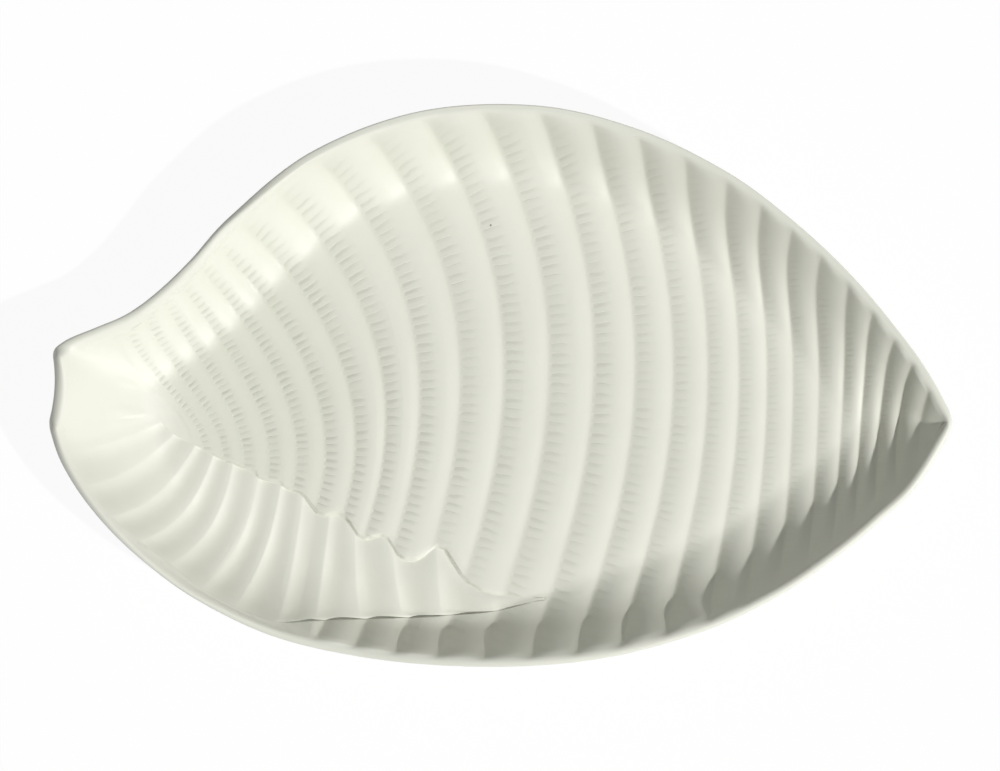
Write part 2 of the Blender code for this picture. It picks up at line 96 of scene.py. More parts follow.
# Hook of each rib line towards the flared end, on the upper wall and on the lower wall, as a
# share of half the length, and how far along the line from the rim the hook is deepest.
RIB_HOOKS = (
    (-2, 0.0, 0.0), (11, 0.0, 0.0), (13, 0.006, 0.007), (15, 0.010, 0.009), (17, 0.0135, 0.010),
    (18, 0.0165, 0.009), (20, 0.0155, 0.0), (21, 0.0135, -0.004), (22, 0.006, -0.004),
    (24, 0.007, 0.0), (27, 0.0, 0.0),
)
HOOK_PLACE = 0.14

# Height of each rib as a share of the tallest, and the spacing of the cross marks on it
# in millimetres.
RIB_SWELL = ((-2, 0.0), (0, 0.0), (1.2, 0.08), (2, 0.22), (3, 0.4), (6, 0.66), (9, 1.0), (12, 1.1),
             (15, 1.0), (18, 0.8), (21, 0.66), (24, 0.8), (27, 0.8))
TICK_PITCH = ((0, 2.3), (5, 2.7), (9, 3.6), (14, 4.2), (18, 3.0), (24, 2.0), (27, 2.0))

# The walls: place along the platter as a share of half its length, run of the wall as a
# share of the usual run, and softness of its bend onto the floor.
UPPER_WALL = (
    (-1.0, 1.0, 0.6), (-0.5, 1.0, 0.55), (-0.2, 1.0, 0.4), (0.0, 1.0, 0.36), (0.35, 1.03, 0.45),
    (0.6, 1.06, 0.6), (0.8, 1.02, 0.6), (0.9, 0.78, 0.55), (1.0, 0.5, 0.5),
)
LOWER_WALL = (
    (-1.0, 1.3, 0.8), (-0.8, 1.25, 0.75), (-0.7, 1.1, 0.6), (-0.6, 0.92, 0.42), (-0.5, 0.83, 0.4),
    (-0.4, 0.74, 0.4), (-0.3, 0.66, 0.35), (-0.2, 0.64, 0.3), (-0.1, 0.68, 0.3), (0.0, 0.78, 0.35),
    (0.1, 0.92, 0.42), (0.22, 1.0, 0.5), (0.34, 0.98, 0.62), (0.46, 0.84, 0.86), (0.6, 0.81, 1.0),
    (0.8, 0.75, 1.0), (0.9, 0.66, 1.0), (1.0, 0.45, 1.0),
)

# Dip of the rim along the fan: place along the platter, and share of the deepest dip.
RIM_DIP = ((-1.0, 0.0), (-0.85, 0.05), (-0.7, 0.5), (-0.55, 1.0), (-0.35, 0.9), (-0.15, 0.4),
           (0.05, 0.05), (0.2, 0.0), (1.0, 0.0))

# The lip along the upper and the lower rim: place along the platter, the crown's place as a
# share of the lip's width from its inner edge, and the slope of the roll at the outer edge.
UPPER_LIP = (
    (-1.0, 0.02, 2.7), (-0.8, 0.02, 2.7), (-0.7, 0.04, 2.3), (-0.6, 0.1, 1.2), (-0.42, 0.35, 0.35),
    (-0.18, 0.5, 0.0), (0.1, 0.62, -0.1), (0.9, 0.62, -0.1), (1.0, 0.55, 0.4),
)
LOWER_LIP = (
    (-1.0, 0.02, 2.7), (-0.9, 0.15, 2.3), (-0.78, 0.35, 2.0), (-0.66, 0.45, 1.4), (-0.5, 0.5, 0.8),
    (-0.3, 0.5, 0.4), (0.0, 0.55, 0.4), (0.3, 0.62, 0.45), (0.9, 0.62, 0.5), (1.0, 0.55, 0.4),
)

# How much wider the lip's roll is round the flared end, as a share of the lip's width, and
# the ribs between which that ends.
FLARE_LIP = 0.35
FLARE_LIP_RIBS = (6.0, 10.0)

# The flared end's wall: run as a share of the usual run, and softness of its bend.
END_WALL = (1.58, 0.6)

# Where the rib ends meet the fan: flute number and place, in the same shares. Whole
# numbers are the crests between flutes.
SUTURE = (
    (0.0, -0.779, -0.105), (1.0, -0.752, -0.123), (2.0, -0.726, -0.169), (3.0, -0.674, -0.208),
    (4.0, -0.636, -0.245), (5.0, -0.593, -0.275), (5.9, -0.543, -0.304), (6.05, -0.534, -0.329),
    (6.95, -0.487, -0.343), (7.1, -0.481, -0.357), (8.0, -0.439, -0.384), (8.6, -0.399, -0.467),
    (9.5, -0.350, -0.453), (10.2, -0.310, -0.549), (10.8, -0.255, -0.531), (11.2, -0.222, -0.616),
    (11.6, -0.182, -0.623), (12.1, -0.132, -0.560), (12.5, -0.078, -0.694), (12.95, -0.034, -0.741),
    (14.0, 0.098, -0.751),
)

# The fan's outer edge: along the rim up to flute 8, then the ledge above the wall.
FAN_EDGE = (
    (0.0, -0.965, -0.155), (1.0, -0.951, -0.226), (2.0, -0.914, -0.346), (3.0, -0.859, -0.457),
    (4.0, -0.797, -0.545), (5.0, -0.730, -0.627), (6.0, -0.662, -0.712), (7.0, -0.587, -0.780),
    (8.0, -0.492, -0.833), (9.0, -0.408, -0.831), (10.0, -0.310, -0.826), (11.0, -0.215, -0.822),
    (12.0, -0.129, -0.815), (13.0, -0.012, -0.799), (14.0, 0.098, -0.7545),
)

# Sideways bow of the crests between flutes, as a share of half the length.
FLUTE_BOW = ((0, 0.0), (1, 0.009), (2, 0.018), (3, 0.027), (4, 0.031), (5, 0.031), (6, 0.027),
             (7, 0.018), (8, 0.007), (9, 0.0), (14, 0.0))

# Flutes between which the fan's edge leaves the rim and becomes the ledge.
LEDGE_FLUTES = (7.6, 8.6)

# Faint crests on the flared end, next to the fan: start and end of each, in the same
# shares, then its half width and its height in metres.
FLARE_CRESTS = (
    (-0.781, -0.119, -0.867, -0.066, 0.0024, 0.00035),
    (-0.803, 0.005, -0.863, 0.030, 0.0016, 0.00015),
)

FIRST_RIB = RIB_GUIDES[0][0]
LAST_RIB = RIB_GUIDES[-1][0]
LAST_FLUTE = FAN_EDGE[-1][0]

# The fan: flutes between which it begins and its hollows begin, its ledge tapers, its hollows
# end and its face merges with the ribs, shares of its run between which the hollows deepen and
# fade at the rim, the lean of each hollow, and the soft foot of its climb in metres.
FAN_START = (0.0, 2.0)
HOLLOW_START = (0.0, 3.0)
LEDGE_TAPER = (LAST_FLUTE - 2.0, LAST_FLUTE)
HOLLOW_END = (LAST_FLUTE - 1.5, LAST_FLUTE)
FAN_MERGE = (LAST_FLUTE - 1.4, LAST_FLUTE)
HOLLOW_DEEPENS = (0.1, 0.65)
HOLLOW_FADES = (0.9, 1.0)
HOLLOW_LEAN = 0.7
CLIMB_FOOT = 0.001

# Fineness of the surfaces
RIB_STATIONS = (0.0, 0.035, 0.09, 0.18, 0.30, 0.44, 0.58, 0.72, 0.84, 0.92, 0.97)
FLUTE_STATIONS = (0.0, 0.03, 0.08, 0.16, 0.27, 0.4, 0.53, 0.66, 0.78, 0.88, 0.95)
FLARE_COLUMNS = 18
UPPER_ROWS = 66
END_ROUND_SHARES = (0.85, 0.7, 0.55, 0.4, 0.27, 0.14, 0.05, 0.0)
SEAT_ROWS = 4
LOWER_ROWS = 26
LIP_INNER_LOOPS = 5
LIP_OUTER_LOOPS = 6
LIP_EDGE_LOOPS = 4
FAN_ROWS = 34
FOOT_SIDES = 144
STATION_GAP = 0.02
POINTS_AT_ONCE = 20000

# Where the walls start under the lip, as a share of its width, how crisply they join each
# other and the flared end's wall, and the corners' shares where a side of the zigzag bends.
LIP_FOOT = 0.88
SIDE_CRISPNESS = 10
END_CRISPNESS = 4
CORNER_SHARES = (0.82, 0.18)

# Under the lip: share of its width outwards, and fall as a share of the wall's thickness.
UNDER_LIP = ((0.97, 0.5), (0.85, 0.7))

# Ribs between which the relief changes: soft waves turn into arches, the ribs of the flared
# end come close to the rim, they reach the upper and the lower rim, and they leave it again
# at the tip. The least that they have at the rim is a share of their height.
ARCHED_RIBS = (3.0, 9.0)
FLARED_RIBS = (6.0, 12.0)
UPPER_RIM_RIBS = (10.0, 14.0)
PAST_FAN_RIBS = (8.0, 9.0)
LOWER_RIM_RIBS = (8.5, 9.5)
UPPER_TIP_RIBS = (16.0, 20.0)
LOWER_TIP_RIBS = (17.5, 20.0)
RIM_LEAST = 0.5
RIB_CREST = 0.52
VALLEY_EASE = 0.25

# Slopes between which the floor turns into the wall and the wall is at its steepest, what the
# ribs have of their height on the floor, gain on the walls and lose on the steepest, and how
# far from the fan they are flatter, in metres.
WALL_SLOPES = (0.0, 0.5)
STEEP_SLOPES = (0.6, 1.2)
RIB_ON_FLOOR = 0.58
RIB_ON_WALL = 0.62
RIB_LOSS = 0.2
CALM_REACH = 0.05

# The step down to the fan: ribs and flutes between which it grows, and the places along the
# platter between which it runs out.
STEP_RIBS = (3.0, 8.0)
STEP_FLUTES = (3.0, 7.0)
STEP_END = (-0.07, 0.05)

# Places along the platter between which the walls stop running out to the edge and the lip
# begins, the lip rises to its full height, and the floor rises and then ramps to the tip.
SWEEP_PLACES = (-0.8, -0.35)
LIP_PLACES = (-0.3, 0.1)
TIP_RISE_PLACES = (0.6, 0.95)
TIP_RAMP_PLACES = (0.82, 1.0)

# Edges that stay sharp, the round of the tips in widths of the lip, the round on the edges of
# the foot, and the shares of its height between which it reaches up to the underside.
PIECE_SHARP = math.radians(50.0)
FOOT_SHARP = math.radians(40.0)
TIP_ROUND = 0.9
FOOT_ROUND = 0.0012
FOOT_REACH = (0.3, 0.75)

# Pooled glaze and painted shade: the share of painted shade on the floor of the flared end
# and at the tip, the ribs and places between which it begins, the slopes between which it
# ends, and the share of pooled glaze in the hollows.
FLARE_PAINTED_SHADE = 1.4
PAINTED_SHADE_RIBS = (0.0, 3.0)
TIP_PAINTED_SHADE = 0.8
TIP_PAINTED_SHADE_PLACES = (0.78, 0.93)
FLOOR_SLOPES = (0.1, 0.5)
HOLLOW_POOL = 0.45

# Mottling of the glaze: details to the metre, spread of the clouds, and depths in metres.
CLOUD_SCALE = 38.0
CLOUD_SPREAD = (0.5, -0.12)
GRAIN_SCALE = 420.0
GRAIN_DEPTH = 0.000008
GRAIN_ROUGHNESS = 0.08
RIPPLE_SCALE = 70.0
RIPPLE_DEPTH = 0.00012

# Pinholes: cells to the metre, size as a share of a cell, share of the cells that have one,
# depth in metres and colour.
PINHOLE_SCALE = 34.0
PINHOLE_SIZE = 0.016
PINHOLE_SHARE = 0.14
PINHOLE_DEPTH = 0.0002
PINHOLE_COLOUR = (0.3, 0.28, 0.22, 1.0)

# Cross marks: their shift from rib to rib, the ribs between which they begin, what they lose
# of their strength and between which ribs, the shares of their spacing where they fall and
# rise, the shares of the rib where they end and begin, and how unevenly they stray and vary.
MARK_SHIFT = 0.37
MARKED_RIBS = (1.0, 2.5)
MARK_LOSSES = ((0.35, 7.0, 13.0), (0.3, 13.0, 19.0))
MARK_FALL = (0.0, 0.55)
MARK_RISE = (0.86, 1.0)
MARK_END = (0.22, 0.55)
MARK_BEGIN = (0.01, 0.09)
MARK_STRAY = 0.45
MARK_STRAY_SCALE = 140.0
MARK_VARIETY = (0.9, 0.35)

# Darkness of the cross marks, their shade of the pooled glaze, and their depth in metres.
MARK_DARKNESS = 0.5
MARK_SHADE = 0.82
MARK_DEPTH = 0.00016

# The bare foot: heights between which the glaze ends, how ragged its line is, the grit of the
# clay, the shade of its darker grains, and how much rougher than the glaze it is.
GLAZE_LINE = (0.0016, 0.0024)
RAGGED_SCALE = 160.0
RAGGED_HEIGHT = 0.0012
SAND_SCALE = 900.0
SAND_DEPTH = 0.00012
SAND_SHADE = 0.8
SAND_ROUGHNESS = 0.6

# The stage, and the spacing of nodes in the node editor.
FLOOR_SIZE = 8.0
FLOOR_DROP = 0.0002
FLOOR_GLOW = 0.94
SENSOR_WIDTH = 36.0
FARTHEST_SEEN = 50.0
NODE_STEP = 220


def length_prop(name, description, default):
    """A length in metres that a user may change."""
    return FloatProperty(
        name=name, description=description, default=default, unit="LENGTH", precision=4
    )


def angle_prop(name, description, degrees):
    """An angle that a user may change."""
    return FloatProperty(
        name=name, description=description, default=math.radians(degrees), subtype="ANGLE"
    )


def share_prop(name, description, default, low=0.0, high=1.0):
    """A plain number between two limits."""
    return FloatProperty(name=name, description=description, default=default, min=low, max=high)


def colour_prop(name, description, default):
    """A colour that a user may change."""
    return FloatVectorProperty(
        name=name, description=description, default=default,
        size=3, subtype="COLOR", min=0.0, max=1.0,
    )


class PlatterSizes(bpy.types.PropertyGroup):
    """Sizes of the dish, its relief, its fan and its foot."""

    length: length_prop("Length", "From the flared end to the tip", CAD_SPAN[0])
    width: length_prop("Width", "Across the widest place", CAD_SPAN[1])
    height: length_prop("Height", "From the table to the top of the rim", CAD_SPAN[2])
    foot_height: length_prop("Foot height", "From the table to the flat underside", 0.006)
    foot_length: length_prop("Foot length", "Long side of the foot ring", 0.186)
    foot_span: length_prop("Foot span", "Short side of the foot ring", 0.104)
    foot_width: length_prop("Foot ring width", "Width of the ring's face", 0.008)
    foot_x: length_prop("Foot place along", "Middle of the ring along the platter", 0.012)
    foot_y: length_prop("Foot place across", "Middle of the ring across the platter", -0.006)
    floor_thickness: length_prop("Floor thickness", "Thickness under the flat floor", 0.006)
    wall_thickness: length_prop("Wall thickness", "Thickness of the walls and rim", 0.005)
    lip_width: length_prop("Lip width", "Width of the smooth rounded rim", 0.0042)
    lip_rise: length_prop("Lip rise", "Rise of the rim over the top of the wall", 0.0013)
    wall_run: length_prop("Wall run", "How far the walls reach in from the lip", 0.021)
    rim_dip: length_prop("Rim dip", "How much lower the rim is along the fan", 0.009)
    tip_rise: length_prop("Tip rise", "Rise of the floor towards the pointed tip", 0.0038)
    tip_ramp: length_prop("Tip ramp", "Further rise of the floor at the very tip", 0.010)
    lip_edge: length_prop("Lip edge", "Tight round on the outer edge of the lip", 0.0006)
    rib_height: length_prop("Rib height", "Height of the tallest ribs", 0.0015)
    rib_fade: length_prop("Rib fade", "Distance over which ribs rise inside the rim", 0.003)
    flute_depth: length_prop("Flute depth", "Depth of the fan's hollows", 0.0010)
    seat_depth: length_prop("Seat depth", "Depth of the fan's seat in the dish", 0.0030)
    fan_step: length_prop("Fan step", "Drop from the rib valleys to the fan", 0.0007)
    ledge_height: length_prop("Ledge height", "Rise of the fan's edge over the wall", 0.0004)
    ledge_drop: length_prop("Ledge drop", "Drop of the fan's face at its outer edge", 0.0007)
    edge_round: length_prop("Edge rounding", "Rounding of rib ends and of the ledge", 0.0018)


class PlatterFinish(bpy.types.PropertyGroup):
    """Colours and gloss of the glaze and of the bare clay."""

    glaze: colour_prop("Glaze", "Colour of the glaze", (0.796, 0.797, 0.705))
    # The pooled colour is also used as painted shade on the dish's flared-end floor and at its tip.
    pooled: colour_prop("Pooled glaze", "Colour where the glaze lies thick", (0.708, 0.714, 0.607))
    clay: colour_prop("Clay", "Colour of the bare foot", (0.66, 0.60, 0.48))
    gloss: share_prop("Glaze roughness", "Roughness of the glaze", 0.46)


class PlatterStage(bpy.types.PropertyGroup):
    """Light, floor and camera."""

    light_turn: angle_prop("Light direction", "Turn of the key light from +X towards +Y", -32.0)
    light_rise: angle_prop("Light height", "Height of the key light over the table", 48.0)
    light_spread: angle_prop("Light spread", "Size of the key light as seen from the table", 1.2)
    key: share_prop("Key strength", "Strength of the key light", 2.9, 0.0, 10.0)
    sky: share_prop("Sky strength", "Strength of the light from all round", 0.2, 0.0, 10.0)
    sky_colour: colour_prop("Sky colour", "Colour of the light from all round", (0.965, 0.98, 1.0))
    floor: colour_prop("Floor", "Colour of the floor", (0.96, 0.96, 0.96))
    camera_height: length_prop("Camera height", "Height of the camera over the rim", 6.0)
    view_width: length_prop("View width", "Width of the view at the rim", 0.420)


def ramp(value, low, high):
    """Rise from 0 at low to 1 at high, level at both ends."""
    share = np.clip((value - low) / (high - low), 0.0, 1.0)
    return share * share * (3.0 - 2.0 * share)


def smooth_curve(knots, values, at):
    """Cubic curve through the values, with the slope of its neighbours at each knot."""
    slopes = np.gradient(values, knots)
    place = np.clip(np.searchsorted(knots, at, side="right") - 1, 0, len(knots) - 2)
    span = knots[place + 1] - knots[place]
    share = (at - knots[place]) / span
    rest = 1.0 - share
    start = (1.0 + 2.0 * share) * rest * rest * values[place]
    end = share * share * (3.0 - 2.0 * share) * values[place + 1]
    leave = share * rest * rest * span * slopes[place]
    arrive = share * share * rest * span * slopes[place + 1]
    return start + end + leave - arrive


def read_smooth(table, at):
    """Values of a table's other columns at places in its first, on smooth curves."""
    places, *columns = np.asarray(table, float).T
    return [smooth_curve(places, column, at) for column in columns]


def read_straight(table, at):
    """Values of a table's other columns at places in its first, on straight lines."""
    places, *columns = np.asarray(table, float).T
    return [np.interp(at, places, column) for column in columns]


def soft_arch(within, crest, ease):
    """Rounded arch over one rib or flute, 0 at both ends, with its valleys slightly eased."""
    falling = 0.5 + 0.5 * (within - crest) / (1.0 - crest)
    bent = np.where(within < crest, 0.5 * within / crest, falling)
    arch = 4.0 * bent * (1.0 - bent)
    return (np.sqrt(arch * arch + ease * ease) - ease) / (np.sqrt(1.0 + ease * ease) - ease)


def wave(within):
    """Smooth wave over one rib or flute, 0 at both ends and 1 in the middle."""
    return 0.5 - 0.5 * np.cos(2.0 * math.pi * within)


def join_walls(first, second, crispness):
    """Depth where two walls meet, each 0 at its rim and 1 on the floor, with a soft corner."""
    first, second = (np.maximum(depth, 1e-4) ** -float(crispness) for depth in (first, second))
    return (first + second - 1.0) ** (-1.0 / crispness)


def rib_arch(rib):
    """Rise across the ribs: soft waves at the flared end, arches with crisp valleys at the tip."""
    within = rib - np.floor(rib)
    arch = soft_arch(within, RIB_CREST, VALLEY_EASE)
    return arch + (wave(within) - arch) * (1.0 - ramp(rib, *ARCHED_RIBS))


def beside(x, y, start, end, low=-math.inf, high=math.inf):
    """Share along a straight line, kept between limits, and the distance from there."""
    step = end - start
    share = ((x - start[0]) * step[0] + (y - start[1]) * step[1]) / (step @ step)
    share = np.clip(share, low, high)
    return share, np.hypot(x - start[0] - share * step[0], y - start[1] - share * step[1])


def stack(x, y, z):
    """Points from three arrays of coordinates."""
    return np.stack(np.broadcast_arrays(x, y, z), axis=-1)


def ring_of(grid):
    """Border of a grid, clockwise from its first corner."""
    return np.concatenate([grid[0, :-1], grid[:-1, -1], grid[-1, :0:-1], grid[:0:-1, 0]])


def stations(first, last, within):
    """Station numbers from first to last, at the given shares of each whole step."""
    whole = np.arange(np.floor(first), np.ceil(last) + 1)
    numbers = (whole[:, None] + np.asarray(within)).ravel()
    numbers = numbers[(numbers > first + STATION_GAP) & (numbers < last - STATION_GAP)]
    return np.concatenate([[first], numbers, [last]])


def merge_stations(numbers, extra):
    """Stations with some added, and without those that are almost on an added one."""
    keep = np.abs(numbers[:, None] - extra).min(axis=1) > STATION_GAP
    keep[[0, -1]] = True
    return np.unique(np.concatenate([numbers[keep], extra]))


class PlatterForm:
    """The platter's shape as heights over its plan, worked out from its sizes."""

    def __init__(self, sizes):
        self.sizes = sizes
        ribs = np.linspace(FIRST_RIB, LAST_RIB, 400)
        ends = [self.rib_shares(ribs, 0.0 * ribs + end) for end in (0.0, 1.0)]
        outline = np.concatenate([np.stack(end, axis=1) for end in ends])
        self.middle = (outline.max(axis=0) + outline.min(axis=0)) / 2
        self.half = (outline.max(axis=0) - outline.min(axis=0)) / 2
        self.floor_level = sizes.foot_height + sizes.floor_thickness
        corners = np.asarray(SUTURE)
        eased = [corners[:1]]
        near, far = CORNER_SHARES
        for before, after in zip(corners, corners[1:]):
            eased.append([near * before + far * after, far * before + near * after])
        self.suture = np.concatenate([*eased, corners[-1:]])
        self.suture_line = np.stack(self.to_metres(*self.suture.T[1:]), axis=1)
        edge_line = np.stack(self.fan_outer(np.linspace(0.0, LAST_FLUTE, 141)), axis=1)
        self.fan_outline = np.concatenate([self.suture_line, edge_line[::-1]])

    def rib_shares(self, rib, along):
        """Plan place, in shares, on a rib line at 0 (upper rim) to 1 (lower rim) along it."""
        upper_x, upper_y, lower_x, lower_y, bow, lean = read_smooth(RIB_GUIDES, rib)
        arch = 4.0 * along * (1.0 - along) * (1.0 + lean * (0.5 - along))
        x = upper_x + (lower_x - upper_x) * along + bow * arch
        for hook, way in zip(read_straight(RIB_HOOKS, rib), (along, 1.0 - along)):
            reach = way / HOOK_PLACE
            x = x - hook * reach * reach * np.exp(2.0 - 2.0 * reach)
        return x, upper_y + (lower_y - upper_y) * along

    def to_metres(self, x, y):
        """Plan shares to metres."""
        x = (x - self.middle[0]) / self.half[0] * self.sizes.length / 2
        y = (y - self.middle[1]) / self.half[1] * self.sizes.width / 2
        return x, y

    def place(self, x):
        """Place along the platter as a share of half its length, -1 to 1."""
        return np.clip(x / (self.sizes.length / 2), -1.0, 1.0)

    def rib_plan(self, rib, along):
        """Plan place in metres on a rib line."""
        return self.to_metres(*self.rib_shares(np.asarray(rib, float), np.asarray(along, float)))

    def fan_outer(self, flute):
        """Plan place in metres on the fan's outer edge."""
        return self.to_metres(*read_smooth(FAN_EDGE, flute))

    def fan_inner(self, flute):
        """Plan place in metres on the zigzag where the fan meets the rib ends."""
        return self.to_metres(*read_straight(self.suture, flute))

    def fan_plan(self, flute, outwards):
        """Plan place in metres on the fan, from its inner edge (0) to its outer edge (1)."""
        inner_x, inner_y = self.fan_inner(flute)
        outer_x, outer_y = self.fan_outer(flute)
        run_x, run_y = outer_x - inner_x, outer_y - inner_y
        length = np.maximum(np.hypot(run_x, run_y), 1e-6)
        bow = read_smooth(FLUTE_BOW, flute)[0] * self.sizes.length / 2
        arch = 4.0 * outwards * (1.0 - outwards) * (1.0 + 0.5 * (outwards - 0.5))
        x = inner_x + run_x * outwards - run_y / length * bow * arch
        y = inner_y + run_y * outwards + run_x / length * bow * arch
        return x, y

    def distance(self, x, y, line, low, high):
        """Distance from each point to a smooth line, given as a function of one number."""
        samples = np.linspace(low, high, 200)
        line_x, line_y = line(samples)
        flat_x, flat_y = np.ravel(x), np.ravel(y)
        nearest = np.empty(len(flat_x), int)
        for start in range(0, len(flat_x), POINTS_AT_ONCE):
            part = slice(start, start + POINTS_AT_ONCE)
            gap_x, gap_y = flat_x[part, None] - line_x, flat_y[part, None] - line_y
            nearest[part] = np.argmin(gap_x * gap_x + gap_y * gap_y, axis=1)
        place = samples[nearest]
        step = (high - low) * 1e-4
        for _ in range(4):
            at_x, at_y = line(place)
            ahead, back = np.minimum(place + step, high), np.maximum(place - step, low)
            (next_x, next_y), (last_x, last_y) = line(ahead), line(back)
            reach = ahead - back
            slope_x, slope_y = (next_x - last_x) / reach, (next_y - last_y) / reach
            move = (flat_x - at_x) * slope_x + (flat_y - at_y) * slope_y
            place = np.clip(place + move / (slope_x * slope_x + slope_y * slope_y), low, high)
        at_x, at_y = line(place)
        return np.hypot(flat_x - at_x, flat_y - at_y).reshape(np.shape(x))

    def rim_distances(self, x, y):
        """Distance inside the lip from the upper rim, the lower rim and the flared end."""
        lines = (
            (lambda rib: self.rib_plan(rib, 0.0 * rib), FIRST_RIB, LAST_RIB),
            (lambda rib: self.rib_plan(rib, 0.0 * rib + 1.0), FIRST_RIB, LAST_RIB),
            (lambda along: self.rib_plan(0.0 * along + FIRST_RIB, along), 0.0, 1.0),
        )
        lip = LIP_FOOT * self.sizes.lip_width * (1.0 - self.sweep(x))
        return [np.maximum(self.distance(x, y, *line) - lip, 0.0) for line in lines]

    def bed_height(self, x, y):
        """Height of the dish's inner face without its ribs."""
        upper, lower, end = self.rim_distances(x, y)
        place = self.place(x)
        depths = []
        for distance, table in ((upper, UPPER_WALL), (lower, LOWER_WALL)):
            run, soft = read_smooth(table, place)
            depths.append(self.wall_depth(distance, run, np.minimum(soft, 1.0)))
        sides = join_walls(*depths, SIDE_CRISPNESS)
        depth = join_walls(sides, self.wall_depth(end, *END_WALL), END_CRISPNESS)
        level = self.sizes.height - self.lip_rise(x) - self.dip(x, y)
        floor = self.floor_level + self.sizes.tip_rise * ramp(place, *TIP_RISE_PLACES)
        floor = floor + self.sizes.tip_ramp * ramp(place, *TIP_RAMP_PLACES)
        return level - (level - floor) * depth

    def wall_depth(self, distance, run, soft):
        """Depth under the lip, 0 to 1 on the floor: a straight wall with a bend at its foot."""
        reach = distance / (run * self.sizes.wall_run)
        bend = np.clip(1.0 + soft - reach, 0.0, None) ** 2 / (4.0 * soft)
        return 1.0 - np.where(reach < 1.0 - soft, 1.0 - reach, bend)

    def sweep(self, x):
        """1 at the flared end, where the walls run out to the edge, and 0 along the lip."""
        return 1.0 - ramp(self.place(x), *SWEEP_PLACES)

    def lip_rise(self, x):
        """Rise of the lip from its inner edge to its crown."""
        share = 0.4 + 0.6 * ramp(self.place(x), *LIP_PLACES)
        return self.sizes.lip_rise * (1.0 - self.sweep(x)) * share

    def dip(self, x, y):
        """How much lower the rim is at each place, along the fan's side."""
        share = np.maximum(read_smooth(RIM_DIP, self.place(x))[0], 0.0)
        return self.sizes.rim_dip * share * ramp(-y, 0.0, self.sizes.length / 8)

    def steepness(self, x, y):
        """Slope of the dish's inner face without its ribs."""
        probe = 0.0005
        slope_x = (self.bed_height(x + probe, y) - self.bed_height(x - probe, y)) / (2 * probe)
        slope_y = (self.bed_height(x, y + probe) - self.bed_height(x, y - probe)) / (2 * probe)
        return np.hypot(slope_x, slope_y)

    def under_height(self, x, y):
        """Height of the dish's smooth underside, one wall below the inner face."""
        sizes = self.sizes
        steep = self.steepness(x, y)
        wall = sizes.wall_thickness * np.sqrt(1.0 + steep * steep)
        ease = ramp(steep, *WALL_SLOPES)
        return self.bed_height(x, y) - sizes.floor_thickness - (wall - sizes.floor_thickness) * ease

    def rib_strength(self, rib, x, y):
        """Share of its full height that a rib has: none at the rim and at the flared end."""
        upper, lower, _ = self.rim_distances(x, y)
        # Ribs rise slowly inside the rim at the flared end, and along the lower rim at the tip.
        flared, tip = 1.0 - ramp(rib, *FLARED_RIBS), ramp(rib, *LOWER_TIP_RIBS)
        upper_fade = 1.0 + 5.0 * flared - 0.6 * ramp(rib, *UPPER_TIP_RIBS)
        lower_fade = 0.8 + 8.0 * (1.0 - ramp(rib, *PAST_FAN_RIBS)) + 4.0 * tip
        upper_least = RIM_LEAST * ramp(rib, *UPPER_RIM_RIBS)
        lower_least = RIM_LEAST * ramp(rib, *LOWER_RIM_RIBS) * (1.0 - tip)
        sides = ((upper, upper_fade, upper_least), (lower, lower_fade, lower_least))
        strength = 1.0
        for distance, fade, least in sides:
            rise = ramp(distance, 0.0, self.sizes.rib_fade * fade)
            strength = strength * (least + (1.0 - least) * rise)
        # They are flatter on the floor than on the walls, and next to the fan.
        steep = self.steepness(x, y)
        lean = RIB_ON_FLOOR + RIB_ON_WALL * ramp(steep, *WALL_SLOPES)
        lean = lean - RIB_LOSS * ramp(steep, *STEEP_SLOPES)
        lean = lean * np.sqrt(1.0 + np.minimum(steep, STEEP_SLOPES[1]) ** 2)
        calm = 0.6 + 0.4 * ramp(self.suture_distance(x, y), 0.0, CALM_REACH)
        return strength * lean * calm * np.maximum(read_straight(RIB_SWELL, rib)[0], 0.0)

    def suture_distance(self, x, y):
        """Distance from each point to the zigzag where the rib ends meet the fan."""
        sides = zip(self.suture_line, self.suture_line[1:])
        return np.min([beside(x, y, *ends, 0.0, 1.0)[1] for ends in sides], axis=0)

    def flare_relief(self, x, y):
        """Height of the faint crests on the flared end."""
        relief = np.zeros(np.shape(x))
        for *ends, width, height in FLARE_CRESTS:
            start, end = (np.array(self.to_metres(*ends[k:k + 2])) for k in (0, 2))
            share, gap = beside(x, y, start, end)
            run = ramp(share, -0.1, 0.2) * (1.0 - ramp(share, 0.4, 1.1))
            relief = relief + height * run * np.exp(-(gap / width) ** 2)
        return relief

    def mark_length(self, rib, x, y):
        """Distance from the upper rim along a rib's line, square across from each place."""
        along = np.linspace(0.0, 1.0, 500)
        length = np.zeros(np.shape(x))
        for whole in np.unique(rib):
            line = np.stack(self.rib_plan(0.0 * along + whole, along), axis=1)
            steps = np.diff(line, axis=0)
            sizes = np.linalg.norm(steps, axis=1)
            start = np.concatenate([[0.0], np.cumsum(sizes)])
            here = rib == whole
            spot = np.stack([x[here], y[here]], axis=1)
            gap_x, gap_y = (spot[:, None, k] - line[:-1, k] for k in (0, 1))
            near = np.argmin(gap_x ** 2 + gap_y ** 2, axis=1)
            ahead = np.sum((spot - line[near]) * steps[near], axis=1) / sizes[near]
            length[here] = start[near] + ahead
        return length

    def in_fan(self, x, y):
        """Whether each point of the plan lies on the fan."""
        inside = np.zeros(np.shape(x), bool)
        for (ax, ay), (bx, by) in zip(self.fan_outline, np.roll(self.fan_outline, -1, axis=0)):
            if ay != by:
                across = (ay > y) != (by > y)
                inside ^= across & (x < (bx - ax) * (y - ay) / (by - ay) + ax)
        return inside

